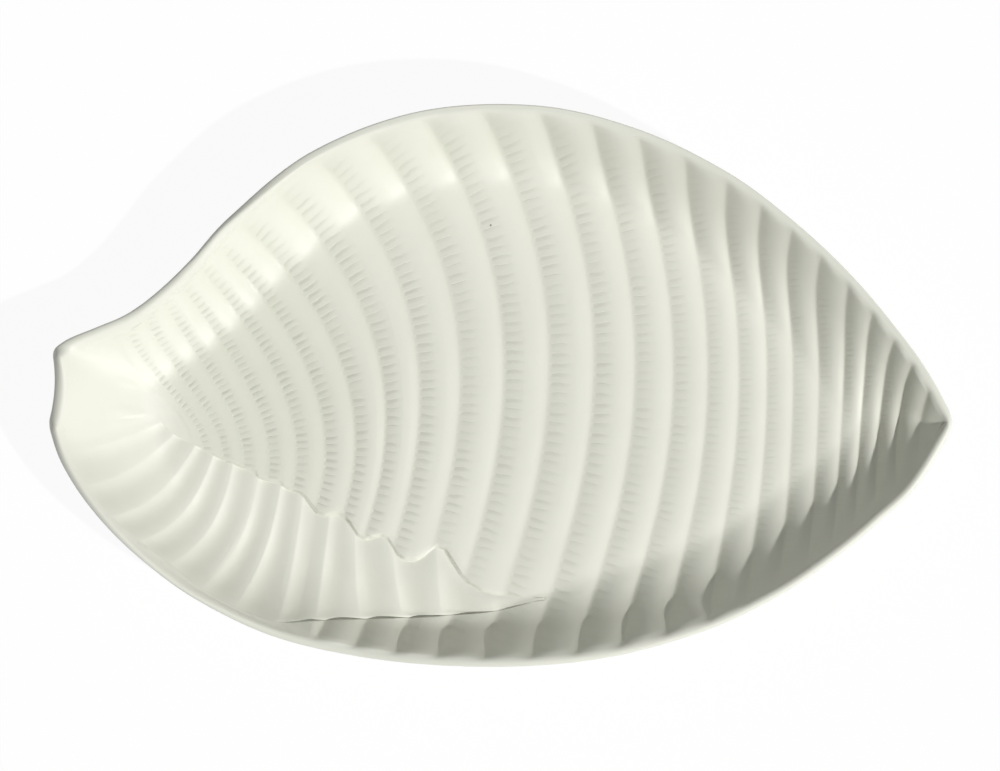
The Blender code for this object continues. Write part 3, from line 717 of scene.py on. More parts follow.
    def rib_number_at(self, x, y):
        """Rib number at places on the plan, found on a coarse net and then refined."""
        net = np.meshgrid(np.linspace(FIRST_RIB, LAST_RIB, 581), np.linspace(0.0, 1.0, 201))
        net_rib, net_along = (side.ravel() for side in net)
        net_x, net_y = self.rib_plan(net_rib, net_along)
        nudge = 1e-4
        numbers = []
        for spot in np.stack([x, y], axis=1):
            k = np.argmin((net_x - spot[0]) ** 2 + (net_y - spot[1]) ** 2)
            rib, along = net_rib[k], net_along[k]
            for _ in range(6):
                here = np.array(self.rib_plan(rib, along))
                by_rib = (np.array(self.rib_plan(rib + nudge, along)) - here) / nudge
                by_along = (np.array(self.rib_plan(rib, along + nudge)) - here) / nudge
                move = np.linalg.solve(np.stack([by_rib, by_along], axis=1), spot - here)
                rib, along = rib + move[0], along + move[1]
            numbers.append(rib)
        return np.array(numbers)


def lay_grid(name, points):
    """Grid primitive with its points moved to the given rows and columns of places."""
    rows, columns = points.shape[:2]
    bpy.ops.object.select_all(action="DESELECT")
    bpy.ops.mesh.primitive_grid_add(x_subdivisions=columns - 1, y_subdivisions=rows - 1, size=1.0)
    grid = bpy.context.object
    grid.name = name
    grid.data.name = name
    grid.data.vertices.foreach_set("co", np.ascontiguousarray(points[::-1], np.float32).ravel())
    grid.data.update()
    return grid


def set_uv(grid, form, numbers, x, y):
    """UV map of a grid: rib number by column, and number of cross marks along that rib.

    The marks are counted face by face, so that neighbouring ribs keep their own."""
    rows, columns = x.shape
    mesh = grid.data
    corners = np.empty(len(mesh.loops), int)
    mesh.loops.foreach_get("vertex_index", corners)
    row, column = np.divmod(corners, columns)
    row = rows - 1 - row
    left = np.repeat(column.reshape(-1, 4).min(axis=1), 4)
    counts = []
    for nudge in (1e-6, -1e-6):
        rib = np.maximum(np.floor(np.broadcast_to(numbers, x.shape) + nudge), -1.0)
        length = form.mark_length(rib, x, y)
        counts.append(length * 1000.0 / read_straight(TICK_PITCH, rib)[0] + MARK_SHIFT * rib)
    count = np.where(column == left, counts[0][row, column], counts[1][row, column])
    uv = np.stack([numbers[column], count], axis=1)
    mesh.uv_layers[0].data.foreach_set("uv", uv.astype(np.float32).ravel())


def set_value(grid, name, values):
    """Named value at every point of a grid."""
    layer = grid.data.attributes.new(name, "FLOAT", "POINT")
    layer.data.foreach_set("value", np.ascontiguousarray(values[::-1], np.float32).ravel())


def close_up(name, grids, sharp):
    """One closed piece from grids that share their borders."""
    bpy.ops.object.select_all(action="DESELECT")
    for grid in grids:
        grid.select_set(True)
    bpy.context.view_layer.objects.active = grids[0]
    bpy.ops.object.join()
    piece = bpy.context.object
    bpy.ops.object.mode_set(mode="EDIT")
    bpy.ops.mesh.select_all(action="SELECT")
    bpy.ops.mesh.remove_doubles(threshold=1e-6)
    bpy.ops.mesh.normals_make_consistent(inside=False)
    bpy.ops.object.mode_set(mode="OBJECT")
    bpy.ops.object.shade_smooth_by_angle(angle=sharp)
    piece.name = name
    piece.data.name = name
    return piece


def dish_columns(form):
    """Rib number of each column of the dish, with one at every corner of the zigzag."""
    middle = np.array([0.45, 0.55])
    start_step = np.diff(form.rib_plan(np.array([FIRST_RIB, FIRST_RIB + 0.1]), middle)[0])[0] / 0.1
    first = FIRST_RIB + (1.0 + FLARE_LIP) * form.sizes.lip_width / start_step
    tip = np.linspace(LAST_RIB - 2.0, LAST_RIB, 400)
    upper, lower = rim_insets(form, tip)
    last = tip[np.argmax(upper + lower > 0.8)]
    flare = np.linspace(first, 0.0, FLARE_COLUMNS)[:-1]
    ribs = np.concatenate([flare, stations(0.0, last, RIB_STATIONS)])
    corners = form.rib_number_at(*form.suture_line.T)
    return merge_stations(ribs, corners)


def rim_insets(form, ribs):
    """Share along each rib at which the lip ends, at the upper and at the lower rim."""
    insets = []
    for edge, inward in ((0.0, 0.01), (1.0, -0.01)):
        edge_x, edge_y = form.rib_plan(ribs, 0.0 * ribs + edge)
        in_x, in_y = form.rib_plan(ribs, 0.0 * ribs + edge + inward)
        ahead_x, ahead_y = form.rib_plan(np.minimum(ribs + 0.01, LAST_RIB), 0.0 * ribs + edge)
        back_x, back_y = form.rib_plan(np.maximum(ribs - 0.01, FIRST_RIB), 0.0 * ribs + edge)
        along_x, along_y = ahead_x - back_x, ahead_y - back_y
        across = along_x * (in_y - edge_y) - along_y * (in_x - edge_x)
        reach = np.abs(across) / np.hypot(along_x, along_y)
        wide = FLARE_LIP * (1.0 - ramp(ribs, *FLARE_LIP_RIBS)) * (edge == 0.0)
        insets.append(form.sizes.lip_width * (1.0 + wide) * abs(inward) / reach)
    return insets


def fan_span(form, ribs, upper, lower):
    """Shares along each rib between which it runs under the fan, and which ribs do."""
    steps = np.linspace(0.0, 1.0, 700)[:, None]
    along = upper + (1.0 - lower - upper) * steps
    rib = np.broadcast_to(ribs, along.shape)
    inside = form.in_fan(*form.rib_plan(rib, along))
    under = inside.any(axis=0)
    columns = np.arange(len(ribs))
    first = np.argmax(inside, axis=0)
    last = len(steps) - 1 - np.argmax(inside[::-1], axis=0)
    bounds = []
    for place, outward in ((first, -1), (last, 1)):
        within = along[place, columns]
        beyond = along[np.clip(place + outward, 0, len(steps) - 1), columns]
        for _ in range(20):
            middle = (within + beyond) / 2
            hit = form.in_fan(*form.rib_plan(ribs, middle))
            within = np.where(hit, middle, within)
            beyond = np.where(hit, beyond, middle)
        bounds.append(within)
    inside = 1.0 - lower - upper
    start, end = ((bound - upper) / inside for bound in bounds)
    nearest = np.interp(columns, columns[under], start[under])
    farthest = np.interp(columns, columns[under], end[under])
    middle = (nearest + farthest) / 2
    reach = np.maximum((farthest - nearest) / 2, 0.004)
    return upper + inside * (middle - reach), upper + inside * (middle + reach), under


def dish_rows(form, ribs):
    """Place along its rib of every point of the inner face, and what each row is part of."""
    sizes = form.sizes
    upper, lower = rim_insets(form, ribs)
    enter, leave, under = fan_span(form, ribs, upper, lower)
    start, finish = form.rib_plan(ribs, 0.0 * ribs), form.rib_plan(ribs, 0.0 * ribs + 1.0)
    run = np.hypot(finish[0] - start[0], finish[1] - start[1])
    rounding = sizes.edge_round / run
    bands = (
        (upper, enter - rounding, np.linspace(0.0, 1.0, UPPER_ROWS + 1) ** 1.1),
        (enter, enter - rounding, END_ROUND_SHARES),
        (enter, leave, np.linspace(0.01, 0.99, SEAT_ROWS + 1)),
        (leave, 1.0 - lower, np.linspace(0.0, 1.0, LOWER_ROWS + 1)),
    )
    rows = np.array([low + (high - low) * share for low, high, band in bands for share in band])
    first_round, first_seat, last_seat = np.cumsum([len(band) for _, _, band in bands])[:3]
    open_width = ramp((leave - enter) * run, 0.0, 0.008) * under
    seat = np.zeros(rows.shape)
    seat[first_seat:last_seat] = open_width
    ends = np.ones(rows.shape)
    ends[first_round:first_seat] -= (1.0 - np.array(END_ROUND_SHARES)[:, None]) * open_width
    return rows, ends, seat, (upper, lower)


def round_corners(ring, corners, reach):
    """Closed ring with its corners rounded, each over a distance to both sides."""
    steps = np.linalg.norm(np.roll(ring, -1, axis=0) - ring, axis=1)
    length = np.concatenate([[0.0], np.cumsum(steps)])
    around = length[-1]
    places = length[:-1]
    table = np.column_stack([length, np.concatenate([ring, ring[:1]])])
    rounded = ring.copy()
    for corner in corners:
        from_corner = (places - places[corner] + around / 2) % around - around / 2
        near = np.abs(from_corner) < reach
        ends = [(places[corner] + side) % around for side in (-reach, reach)]
        first, last = (np.array(read_straight(table, end)) for end in ends)
        share = ((from_corner[near] + reach) / (2.0 * reach))[:, None]
        rest = 1.0 - share
        rounded[near] = rest ** 2 * first + 2 * share * rest * ring[corner] + share ** 2 * last
    return rounded


def lip_section(form, inner, side):
    """Steps across the rim: share of the lip's width outwards, and fall below the rim's level."""
    sizes = form.sizes
    sweep = form.sweep(inner[:, 0])
    place = form.place(inner[:, 0])
    rims = [read_straight(table, place) for table in (UPPER_LIP, LOWER_LIP)]
    crown, slope = (upper + (lower - upper) * side for upper, lower in zip(*rims))
    rise = sizes.height - form.dip(inner[:, 0], inner[:, 1]) - inner[:, 2]
    turn_from = 1.0 - sizes.lip_edge / sizes.lip_width
    drop = 0.5 * slope * (turn_from - crown) * sizes.lip_width
    section = []
    for share in np.linspace(0.0, 1.0, LIP_INNER_LOOPS + 1)[1:]:
        section.append((crown * share, (1.0 - sweep) * rise * (1.0 - share) ** 2))
    for share in np.linspace(0.0, 1.0, LIP_OUTER_LOOPS + 1)[1:]:
        section.append((crown + (turn_from - crown) * share, drop * share * share))
    for turn in np.linspace(0.0, math.pi / 2, LIP_EDGE_LOOPS + 1)[1:]:
        out = sizes.lip_edge * math.sin(turn)
        fall = drop + slope * out + sizes.lip_edge * (1.0 - math.cos(turn))
        section.append((turn_from + out / sizes.lip_width, fall))
    for out, share in UNDER_LIP:
        section.append((out, fall + share * sizes.wall_thickness))
    return section


def lip_loops(form, inner, outer, side):
    """Rings of the rim, from the inner edge over its crown and down to the underside."""
    sizes = form.sizes
    sweep = form.sweep(inner[:, 0])
    loops = [inner]
    for out, fall in lip_section(form, inner, side):
        ring = inner + (outer - inner) * np.reshape(out, (-1, 1))
        level = sizes.height - form.dip(ring[:, 0], ring[:, 1])
        below = level - form.bed_height(ring[:, 0], ring[:, 1])
        ring[:, 2] = level - fall - sweep * below
        loops.append(ring)
    return loops


def model_dish(form):
    """The ribbed dish with its floor, walls, rounded rim and the seat of the fan."""
    sizes = form.sizes
    ribs = dish_columns(form)
    along, ends, seat, insets = dish_rows(form, ribs)
    rib = np.broadcast_to(ribs, along.shape)
    x, y = form.rib_plan(rib, along)
    bed = form.bed_height(x, y)
    strength = form.rib_strength(rib, x, y)
    arch = rib_arch(rib)
    relief = sizes.rib_height * strength * arch + form.flare_relief(x, y)
    foot = sizes.fan_step * ramp(rib, *STEP_RIBS)
    cut = 1.0 - ramp(form.place(x), *STEP_END)
    top = bed + relief - (relief + foot) * ramp(1.0 - ends, 0.0, 1.0) * cut
    top = top + (bed - sizes.seat_depth - top) * seat
    face = lay_grid("dish_face", stack(x, y, top))
    set_uv(face, form, ribs, x, y)
    upper, lower, _ = form.rim_distances(x, y)
    marked = ramp(upper, 0.0, 5.0 * sizes.rib_fade) * ramp(rib, *MARKED_RIBS)
    marked = marked * (0.3 + 0.7 * ramp(lower, 4.0 * sizes.rib_fade, 9.0 * sizes.rib_fade))
    faint = sum(loss * ramp(rib, low, high) for loss, low, high in MARK_LOSSES)
    set_value(face, "tick_strength", marked * (1.0 - faint))
    # Painted shade: the glaze is darkened on the level floor of the flared end and towards the tip,
    # and rides on the hollow value with the glaze that pools in the rib valleys.
    level = 1.0 - ramp(form.steepness(x, y), *FLOOR_SLOPES)
    painted_shade = FLARE_PAINTED_SHADE * level * ramp(rib, *PAINTED_SHADE_RIBS) * (1.0 - ramp(rib, *FLARED_RIBS))
    painted_shade = painted_shade + TIP_PAINTED_SHADE * ramp(form.place(x), *TIP_PAINTED_SHADE_PLACES)
    set_value(face, "hollow", (1.0 - arch) * np.minimum(strength, 1.0) + painted_shade)

    outer_rib = FIRST_RIB + (rib - ribs[0]) / (ribs[-1] - ribs[0]) * (LAST_RIB - FIRST_RIB)
    outer_along = (along - insets[0]) / (1.0 - insets[0] - insets[1])
    outer_x, outer_y = form.rib_plan(outer_rib, outer_along)
    inner_ring = ring_of(stack(x, y, top))
    outer_ring = ring_of(stack(outer_x, outer_y, top))
    rows, columns = x.shape
    tips = (0, columns - 1, columns + rows - 2, 2 * columns + rows - 3)
    outer_ring = round_corners(outer_ring, tips, TIP_ROUND * sizes.lip_width)
    bottom = stack(x, y, form.under_height(x, y))
    loops = lip_loops(form, inner_ring, outer_ring, ring_of(outer_along))
    loops.append(ring_of(bottom))
    closed = [np.concatenate([ring, ring[:1]]) for ring in loops]
    rim = lay_grid("dish_rim", np.array(closed))
    under = lay_grid("dish_under", bottom)
    for grid in (rim, under):
        blank = np.zeros(2 * len(grid.data.loops), np.float32)
        grid.data.uv_layers[0].data.foreach_set("uv", blank)
    return close_up("shell_platter_dish", [face, rim, under], PIECE_SHARP)


def fan_height(form, x, y, flute, outwards):
    """Height of the fan's face: hollow flutes on a sheet that climbs to the rim and ledge."""
    sizes = form.sizes
    bed = form.bed_height(x, y)
    ledge = ramp(flute, *LEDGE_FLUTES)
    taper = 1.0 - ramp(flute, *LEDGE_TAPER)
    step = sizes.fan_step * ramp(flute, *STEP_FLUTES) * taper
    end = bed[-1] + sizes.ledge_height * (ledge * taper)[-1]
    swell = 4.0 - 0.4 * ledge
    above = bed[0] - step + (end - bed[0] + step) * outwards ** swell - bed
    least = -step * (1.0 - outwards) ** 2
    round_off = CLIMB_FOOT * 4.0 * outwards * (1.0 - outwards)
    above = least + (above - least + np.sqrt((above - least) ** 2 + round_off * round_off)) / 2
    above = above * ramp(flute, *FAN_START)
    hollow = wave((flute - np.floor(flute)) ** HOLLOW_LEAN)
    hollow = hollow * (0.58 + 0.5 * ramp(outwards, *HOLLOW_DEEPENS))
    rim_fade = 1.0 - (0.4 + 0.2 * ledge) * ramp(outwards, *HOLLOW_FADES)
    end_fade = 1.0 - ramp(flute, *HOLLOW_END)
    depth = hollow * rim_fade * (ramp(flute, *HOLLOW_START) * end_fade)
    return bed + above - sizes.flute_depth * depth, depth, ledge * taper


def model_fan(form):
    """The fluted fan that lies in the seat of the dish."""
    sizes = form.sizes
    flutes = merge_stations(stations(0.0, LAST_FLUTE, FLUTE_STATIONS), form.suture[:, 0])
    inner, outer = form.fan_inner(flutes), form.fan_outer(flutes)
    run = np.hypot(outer[0] - inner[0], outer[1] - inner[1])
    rounding = np.minimum(sizes.edge_round / run, 0.3)
    rows = [(1.0 - rounding) * share for share in np.linspace(0.0, 1.0, FAN_ROWS + 1)]
    ends = [1.0] * len(rows)
    for share in END_ROUND_SHARES:
        rows.append(1.0 - rounding * share)
        ends.append(share)
    outwards = np.array(rows)
    flute = np.broadcast_to(flutes, outwards.shape)
    x, y = form.fan_plan(flute, outwards)
    height, depth, ledge = fan_height(form, x, y, flute, outwards)
    point = flutes > FAN_MERGE[0]
    rib = form.rib_number_at(x[:, point].ravel(), y[:, point].ravel()).reshape(-1, point.sum())
    strength = form.rib_strength(rib, x[:, point], y[:, point])
    ribbed = form.bed_height(x[:, point], y[:, point])
    ribbed += sizes.rib_height * strength * rib_arch(rib)
    merge = ramp(flutes[point], *FAN_MERGE)
    height[:, point] += (ribbed - height[:, point]) * merge
    drop = 1.0 - np.sqrt(1.0 - (1.0 - np.array(ends)[:, None]) ** 2)
    top = stack(x, y, height - sizes.ledge_drop * drop * ledge)
    sunk = sizes.seat_depth * (1.0 - 0.8 * ramp(flute, *HOLLOW_END))
    bottom = stack(x, y, form.bed_height(x, y) - sunk)
    face = lay_grid("fan_face", top)
    set_value(face, "hollow", depth)
    side = np.array([ring_of(top), ring_of(bottom)])
    wall = lay_grid("fan_side", np.concatenate([side, side[:, :1]], axis=1))
    back = lay_grid("fan_back", bottom)
    return close_up("shell_platter_fan", [face, wall, back], PIECE_SHARP)


def model_foot(form):
    """The oval ring under the floor, rounded at its edges and flat on the table."""
    sizes = form.sizes
    bpy.ops.object.select_all(action="DESELECT")
    bpy.ops.mesh.primitive_circle_add(vertices=FOOT_SIDES, radius=1.0, fill_type="NOTHING")
    foot = bpy.context.object
    bpy.ops.object.mode_set(mode="EDIT")
    bpy.ops.mesh.select_all(action="SELECT")
    radii = [(size - sizes.foot_width) / 2 for size in (sizes.foot_length, sizes.foot_span)]
    bpy.ops.transform.resize(value=(*radii, 1.0))
    bpy.ops.transform.translate(value=(sizes.foot_x, sizes.foot_y, 0.0))
    bpy.ops.mesh.extrude_edges_move(TRANSFORM_OT_translate={"value": (0.0, 0.0, sizes.foot_height)})
    bpy.ops.mesh.select_all(action="SELECT")
    bpy.ops.mesh.normals_make_consistent(inside=False)
    bpy.ops.object.mode_set(mode="OBJECT")
    wall = foot.modifiers.new("ring wall", "SOLIDIFY")
    wall.thickness = sizes.foot_width
    wall.offset = 0.0
    wall.use_even_offset = True
    bevel = foot.modifiers.new("worn edge", "BEVEL")
    bevel.width = FOOT_ROUND
    bevel.segments = 4
    bevel.limit_method = "ANGLE"
    for step in ("ring wall", "worn edge"):
        bpy.ops.object.modifier_apply(modifier=step)
    places = np.empty(3 * len(foot.data.vertices), np.float32)
    foot.data.vertices.foreach_get("co", places)
    places = places.reshape(-1, 3).astype(float)
    rise = form.under_height(places[:, 0], places[:, 1]) - sizes.foot_height
    places[:, 2] += rise * ramp(places[:, 2] / sizes.foot_height, *FOOT_REACH)
    foot.data.vertices.foreach_set("co", places.astype(np.float32).ravel())
    foot.data.update()
    bpy.ops.object.shade_smooth_by_angle(angle=FOOT_SHARP)
    foot.name = "shell_platter_foot"
    foot.data.name = foot.name
    return foot


def feed(tree, socket, value):
    """Link a socket to what feeds it, or set its own value."""
    if isinstance(value, bpy.types.NodeSocket):
        tree.links.new(value, socket)
    else:
        socket.default_value = value


def add_node(tree, kind, inputs=(), **settings):
    """Shader node with its settings, and with inputs given by name or by number."""
    node = tree.nodes.new("ShaderNode" + kind)
    for name, value in settings.items():
        setattr(node, name, value)
    for name, value in dict(inputs).items():
        feed(tree, node.inputs[name], value)
    return node


def add_math(tree, operation, *values, clamp=False):
    """Result of a Math node fed by sockets or plain numbers."""
    node = add_node(tree, "Math", enumerate(values), operation=operation, use_clamp=clamp)
    return node.outputs[0]


def add_blend(tree, share, first, second):
    """Mix of two colours by a share."""
    return add_node(tree, "Mix", {0: share, 6: first, 7: second}, data_type="RGBA").outputs[2]


def add_noise(tree, place, scale, detail):
    """Value of a noise at each place."""
    inputs = {"Vector": place, "Scale": scale, "Detail": detail}
    return add_node(tree, "TexNoise", inputs).outputs[0]


def add_range(tree, value, low, high, start, end, kind="SMOOTHSTEP"):
    """Value carried over from low and high to start and end."""
    limits = enumerate((value, low, high, start, end))
    return add_node(tree, "MapRange", limits, interpolation_type=kind).outputs[0]


def add_value(tree, name):
    """Named value that a piece's mesh holds at every point."""
    return add_node(tree, "Attribute", attribute_name=name).outputs["Fac"]


def lay_out(tree):
    """Spread the nodes in columns, each before the first that it feeds."""
    columns = {node.name: 0 for node in tree.nodes}
    for _ in tree.nodes:
        for link in tree.links:
            column = columns[link.to_node.name] + 1
            columns[link.from_node.name] = max(columns[link.from_node.name], column)
    rows = [0] * (max(columns.values()) + 1)
    for name, column in columns.items():
        tree.nodes[name].location = (-NODE_STEP * column, -NODE_STEP * rows[column])
        rows[column] += 1


def glaze_group():
    """Shared look of the glaze: pooled colour in hollows and as painted shade, faint mottling and
    pinholes.
    """
    name = "Ivory glaze"
    if name in bpy.data.node_groups:
        return bpy.data.node_groups[name]
    group = bpy.data.node_groups.new(name, "ShaderNodeTree")
    sockets = (
        ("Glaze", "INPUT", "Color"), ("Pooled", "INPUT", "Color"), ("Hollow", "INPUT", "Float"),
        ("Roughness", "INPUT", "Float"), ("Colour", "OUTPUT", "Color"),
        ("Roughness", "OUTPUT", "Float"), ("Height", "OUTPUT", "Float"),
    )
    for socket, way, kind in sockets:
        group.interface.new_socket(socket, in_out=way, socket_type="NodeSocket" + kind)
    given = group.nodes.new("NodeGroupInput").outputs
    place = add_node(group, "TexCoord").outputs["Object"]

    cloud = add_noise(group, place, CLOUD_SCALE, 3.0)
    pooled = add_math(group, "MULTIPLY_ADD", cloud, *CLOUD_SPREAD)
    # This input darkens the glaze where it lies thick in hollows, and as painted shade on the
    # dish's flared-end floor and at its tip.
    thick = add_math(group, "MULTIPLY", given["Hollow"], HOLLOW_POOL)
    share = add_math(group, "ADD", pooled, thick, clamp=True)
    colour = add_blend(group, share, given["Glaze"], given["Pooled"])

    dots = add_node(group, "TexVoronoi", {"Vector": place, "Scale": PINHOLE_SCALE})
    near = add_math(group, "LESS_THAN", dots.outputs["Distance"], PINHOLE_SIZE)
    pick = add_node(group, "SeparateColor", {0: dots.outputs["Color"]})
    few = add_math(group, "GREATER_THAN", pick.outputs[0], 1.0 - PINHOLE_SHARE)
    pinhole = add_math(group, "MULTIPLY", near, few)
    colour = add_blend(group, pinhole, colour, PINHOLE_COLOUR)

    grain = add_noise(group, place, GRAIN_SCALE, 2.0)
    ripple = add_noise(group, place, RIPPLE_SCALE, 2.0)
    rough = add_math(group, "MULTIPLY_ADD", grain, GRAIN_ROUGHNESS, given["Roughness"])
    fine = add_math(group, "MULTIPLY", grain, GRAIN_DEPTH)
    broad = add_math(group, "MULTIPLY", ripple, RIPPLE_DEPTH)
    height = add_math(group, "ADD", fine, broad)
    pit = add_math(group, "MULTIPLY", pinhole, PINHOLE_DEPTH)
    height = add_math(group, "SUBTRACT", height, pit)
    result = group.nodes.new("NodeGroupOutput").inputs
    for socket, value in (("Colour", colour), ("Roughness", rough), ("Height", height)):
        feed(group, result[socket], value)
    lay_out(group)
    return group


def new_material(name):
    """Material with plain gloss. Returns it with its node tree."""
    material = bpy.data.materials.new(name)
    material.use_nodes = True
    shader = material.node_tree.nodes["Principled BSDF"]
    shader.inputs["Specular IOR Level"].default_value = 0.5
    shader.inputs["IOR"].default_value = 1.5
    return material, material.node_tree


def place_glaze(tree, finish, hollow=0.0):
    """Outputs of the glaze group with this platter's colours."""
    colours = {"Glaze": (*finish.glaze, 1.0), "Pooled": (*finish.pooled, 1.0)}
    inputs = {**colours, "Hollow": hollow, "Roughness": finish.gloss}
    return add_node(tree, "Group", inputs, node_tree=glaze_group()).outputs


def finish_shader(tree, colour, rough, height):
    """Colour, roughness and fine relief of a material's shader."""
    bump = add_node(tree, "Bump", {"Strength": 1.0, "Distance": 1.0, "Height": height})
    shader = tree.nodes["Principled BSDF"].inputs
    for name, value in (("Base Color", colour), ("Roughness", rough), ("Normal", bump.outputs[0])):
        feed(tree, shader[name], value)
    lay_out(tree)


def dish_material(finish):
    """Glaze with short cross marks pressed into the shaded side of each rib."""
    material, tree = new_material("dish glaze")
    # The hollow value is pooled glaze in the rib valleys plus painted shade on the flared end's
    # floor and at the tip.
    glaze = place_glaze(tree, finish, add_value(tree, "hollow"))

    uv = add_node(tree, "SeparateXYZ", {0: add_node(tree, "UVMap").outputs[0]}).outputs
    place = add_node(tree, "TexCoord").outputs["Object"]
    stray = add_noise(tree, place, MARK_STRAY_SCALE, 1.0)
    uneven = add_math(tree, "MULTIPLY_ADD", stray, MARK_STRAY, uv[1])
    rib, mark = add_math(tree, "FLOOR", uv[0]), add_math(tree, "FLOOR", uneven)
    key = add_node(tree, "CombineXYZ", {0: rib, 1: mark}).outputs[0]
    chance = add_node(tree, "TexWhiteNoise", {"Vector": key}, noise_dimensions="2D")
    vary = add_math(tree, "MULTIPLY_ADD", chance.outputs["Value"], *MARK_VARIETY)

    count = add_math(tree, "FRACT", uneven)
    fall = add_range(tree, count, *MARK_FALL, 1.0, 0.0, "SMOOTHERSTEP")
    rise = add_range(tree, count, *MARK_RISE, 0.0, 1.0)
    cut = add_math(tree, "ADD", fall, rise)
    within = add_math(tree, "FRACT", uv[0])
    tick = add_range(tree, within, *MARK_END, 1.0, 0.0)
    begin = add_range(tree, within, *MARK_BEGIN, 0.0, 1.0)
    for share in (begin, add_value(tree, "tick_strength"), vary, cut):
        tick = add_math(tree, "MULTIPLY", tick, share)

    dark = add_math(tree, "MULTIPLY", tick, MARK_DARKNESS)
    shaded = (*(MARK_SHADE * part for part in finish.pooled), 1.0)
    colour = add_blend(tree, dark, glaze["Colour"], shaded)
    groove = add_math(tree, "MULTIPLY", tick, MARK_DEPTH)
    height = add_math(tree, "SUBTRACT", glaze["Height"], groove)
    finish_shader(tree, colour, glaze["Roughness"], height)
    return material


def fan_material(finish):
    """Glaze of the fan, thicker in its hollows."""
    material, tree = new_material("fan glaze")
    glaze = place_glaze(tree, finish, add_value(tree, "hollow"))
    finish_shader(tree, glaze["Colour"], glaze["Roughness"], glaze["Height"])
    return material


def foot_material(finish):
    """Glaze that stops short of the table, and bare sandy clay on the foot's face."""
    material, tree = new_material("dry foot")
    glaze = place_glaze(tree, finish)
    place = add_node(tree, "TexCoord").outputs["Object"]
    level = add_node(tree, "SeparateXYZ", {0: place}).outputs[2]
    ragged = add_noise(tree, place, RAGGED_SCALE, 3.0)
    edge = add_math(tree, "MULTIPLY_ADD", ragged, RAGGED_HEIGHT, level)
    bare = add_range(tree, edge, *GLAZE_LINE, 1.0, 0.0)
    sand = add_noise(tree, place, SAND_SCALE, 4.0)
    dark = (*(SAND_SHADE * part for part in finish.clay), 1.0)
    clay = add_blend(tree, sand, dark, (*finish.clay, 1.0))
    colour = add_blend(tree, bare, glaze["Colour"], clay)
    dry = add_math(tree, "MULTIPLY", bare, SAND_ROUGHNESS)
    rough = add_math(tree, "ADD", glaze["Roughness"], dry)
    coarse = add_math(tree, "MULTIPLY", sand, bare)
    coarse = add_math(tree, "MULTIPLY", coarse, SAND_DEPTH)
    height = add_math(tree, "ADD", glaze["Height"], coarse)
    finish_shader(tree, colour, rough, height)
    return material


def add_piece(scene, model, material, node):
    """Model a piece with its material, put it under its body and hide its CAD node."""
    piece = model(PlatterForm(scene.platter_sizes))
    piece.data.materials.clear()
    piece.data.materials.append(material(scene.platter_finish))
    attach(piece, "root")
    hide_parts(node)


class PLATTER_OT_dish(bpy.types.Operator):
    """Model the ribbed dish and glaze it"""

    bl_idname = "platter.dish"
    bl_label = "Ribbed Dish"

    def execute(self, context):
        add_piece(context.scene, model_dish, dish_material, "shell_dish")
        return {"FINISHED"}


class PLATTER_OT_fan(bpy.types.Operator):
    """Model the fluted fan and glaze it"""

    bl_idname = "platter.fan"
    bl_label = "Fluted Fan"

    def execute(self, context):
        add_piece(context.scene, model_fan, fan_material, "fan_fold")
        return {"FINISHED"}


class PLATTER_OT_foot(bpy.types.Operator):
    """Model the foot ring, bare where it stands on the table"""

    bl_idname = "platter.foot"
    bl_label = "Foot Ring"

    def execute(self, context):
        add_piece(context.scene, model_foot, foot_material, "foot_ring")
        return {"FINISHED"}


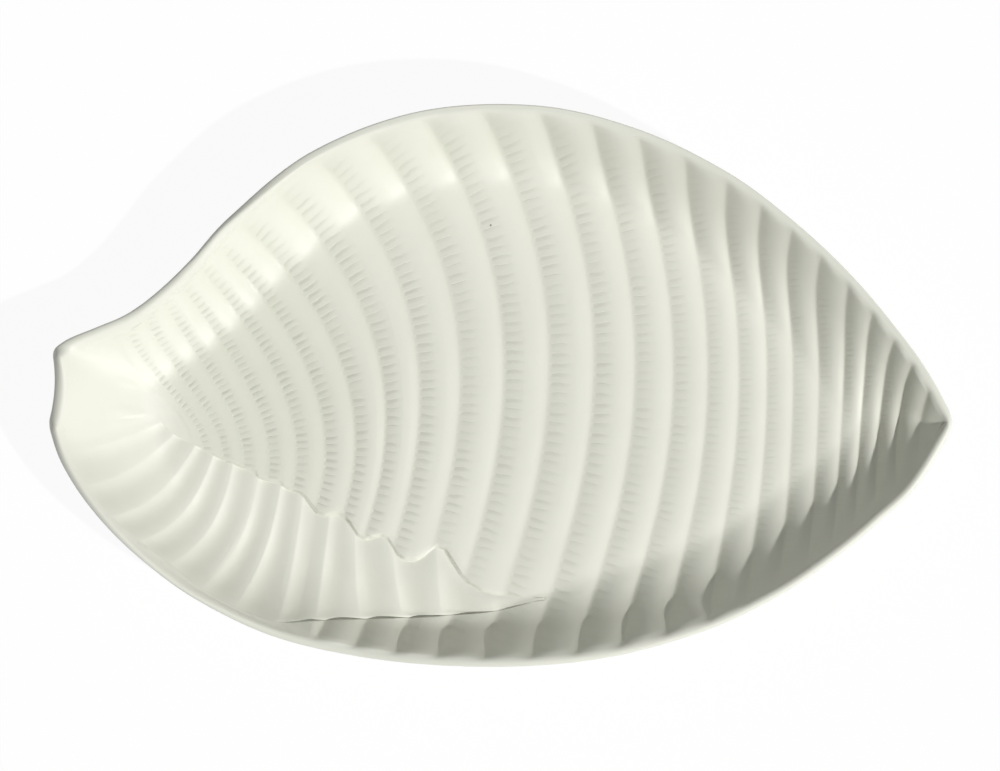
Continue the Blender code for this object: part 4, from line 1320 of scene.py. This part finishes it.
class PLATTER_OT_stage(bpy.types.Operator):
    """Add the pale floor, the soft light and the camera straight above"""

    bl_idname = "platter.stage"
    bl_label = "Stage"

    def execute(self, context):
        scene = context.scene
        stage = scene.platter_stage
        scene.view_settings.view_transform = "Standard"
        bpy.ops.object.select_all(action="DESELECT")
        bpy.ops.mesh.primitive_plane_add(size=FLOOR_SIZE, location=(0.0, 0.0, -FLOOR_DROP))
        floor = context.object
        floor.name = "stage_floor"
        floor.data.materials.append(self.floor_material(stage))
        floor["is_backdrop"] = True

        turn = (0.0, math.pi / 2 - stage.light_rise, stage.light_turn)
        bpy.ops.object.light_add(type="SUN", location=(0.6, -0.5, 1.0), rotation=turn)
        key = context.object
        key.name = "key_light"
        key.data.energy = stage.key
        key.data.angle = stage.light_spread
        scene.world = self.sky(stage)

        height = scene.platter_sizes.height + stage.camera_height
        bpy.ops.object.camera_add(location=(0.0, 0.0, height), rotation=(0.0, 0.0, 0.0))
        camera = context.object
        camera.name = "view_camera"
        camera.data.sensor_fit = "HORIZONTAL"
        camera.data.sensor_width = SENSOR_WIDTH
        camera.data.lens = SENSOR_WIDTH * stage.camera_height / stage.view_width
        camera.data.clip_end = FARTHEST_SEEN
        scene.camera = camera
        return {"FINISHED"}

    def background_rays(self, tree):
        """1 for rays that show the white background: to the camera, or by way of gloss or glass."""
        path = add_node(tree, "LightPath").outputs
        seen = add_math(tree, "ADD", path["Is Camera Ray"], path["Is Glossy Ray"])
        return add_math(tree, "ADD", seen, path["Is Transmission Ray"], clamp=True)

    def floor_material(self, stage):
        """Pale floor that keeps its shadow and looks nearly white to the camera."""
        material, tree = new_material("pale floor")
        shader = tree.nodes["Principled BSDF"]
        matt = {"Base Color": (*stage.floor, 1.0), "Roughness": 0.9, "Specular IOR Level": 0.0}
        for name, value in matt.items():
            shader.inputs[name].default_value = value
        glow = add_node(tree, "Emission")
        share = add_math(tree, "MULTIPLY", self.background_rays(tree), FLOOR_GLOW)
        mix = add_node(tree, "MixShader", {0: share, 1: shader.outputs[0], 2: glow.outputs[0]})
        tree.links.new(mix.outputs[0], tree.nodes["Material Output"].inputs[0])
        lay_out(tree)
        return material

    def sky(self, stage):
        """Even pale light all round, seen as white behind the platter."""
        world = bpy.data.worlds.new("even sky")
        world.use_nodes = True
        tree = world.node_tree
        light = tree.nodes["Background"]
        rays = self.background_rays(tree)
        tint = add_blend(tree, rays, (*stage.sky_colour, 1.0), (1.0, 1.0, 1.0, 1.0))
        level = add_range(tree, rays, 0.0, 1.0, stage.sky, 1.0, "LINEAR")
        tree.links.new(tint, light.inputs["Color"])
        tree.links.new(level, light.inputs["Strength"])
        lay_out(tree)
        return world


class PLATTER_PT_panel(bpy.types.Panel):
    """Sidebar panel with the platter's pieces and settings"""

    bl_label = "Shell Platter"
    bl_idname = "PLATTER_PT_panel"
    bl_space_type = "VIEW_3D"
    bl_region_type = "UI"
    bl_category = "Platter"

    def draw(self, context):
        layout = self.layout
        for step in STEPS:
            layout.operator(step.bl_idname)
        scene = context.scene
        for group in (scene.platter_sizes, scene.platter_finish, scene.platter_stage):
            box = layout.box()
            for name in group.__annotations__:
                box.prop(group, name)


STEPS = (PLATTER_OT_dish, PLATTER_OT_fan, PLATTER_OT_foot, PLATTER_OT_stage)
GROUPS = (PlatterSizes, PlatterFinish, PlatterStage)


def register():
    for thing in (*GROUPS, *STEPS, PLATTER_PT_panel):
        bpy.utils.register_class(thing)
    bpy.types.Scene.platter_sizes = PointerProperty(type=PlatterSizes)
    bpy.types.Scene.platter_finish = PointerProperty(type=PlatterFinish)
    bpy.types.Scene.platter_stage = PointerProperty(type=PlatterStage)


def unregister():
    del bpy.types.Scene.platter_stage
    del bpy.types.Scene.platter_finish
    del bpy.types.Scene.platter_sizes
    for thing in reversed((*GROUPS, *STEPS, PLATTER_PT_panel)):
        bpy.utils.unregister_class(thing)


def main():
    register()
    bpy.ops.platter.dish()
    bpy.ops.platter.fan()
    bpy.ops.platter.foot()
    bpy.ops.platter.stage()
    boxes = {"cad": CAD_BOX, "visual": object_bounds()}
    boxes = {name: [list(map(float, corner)) for corner in box] for name, box in boxes.items()}


if __name__ == "__main__":
    main()
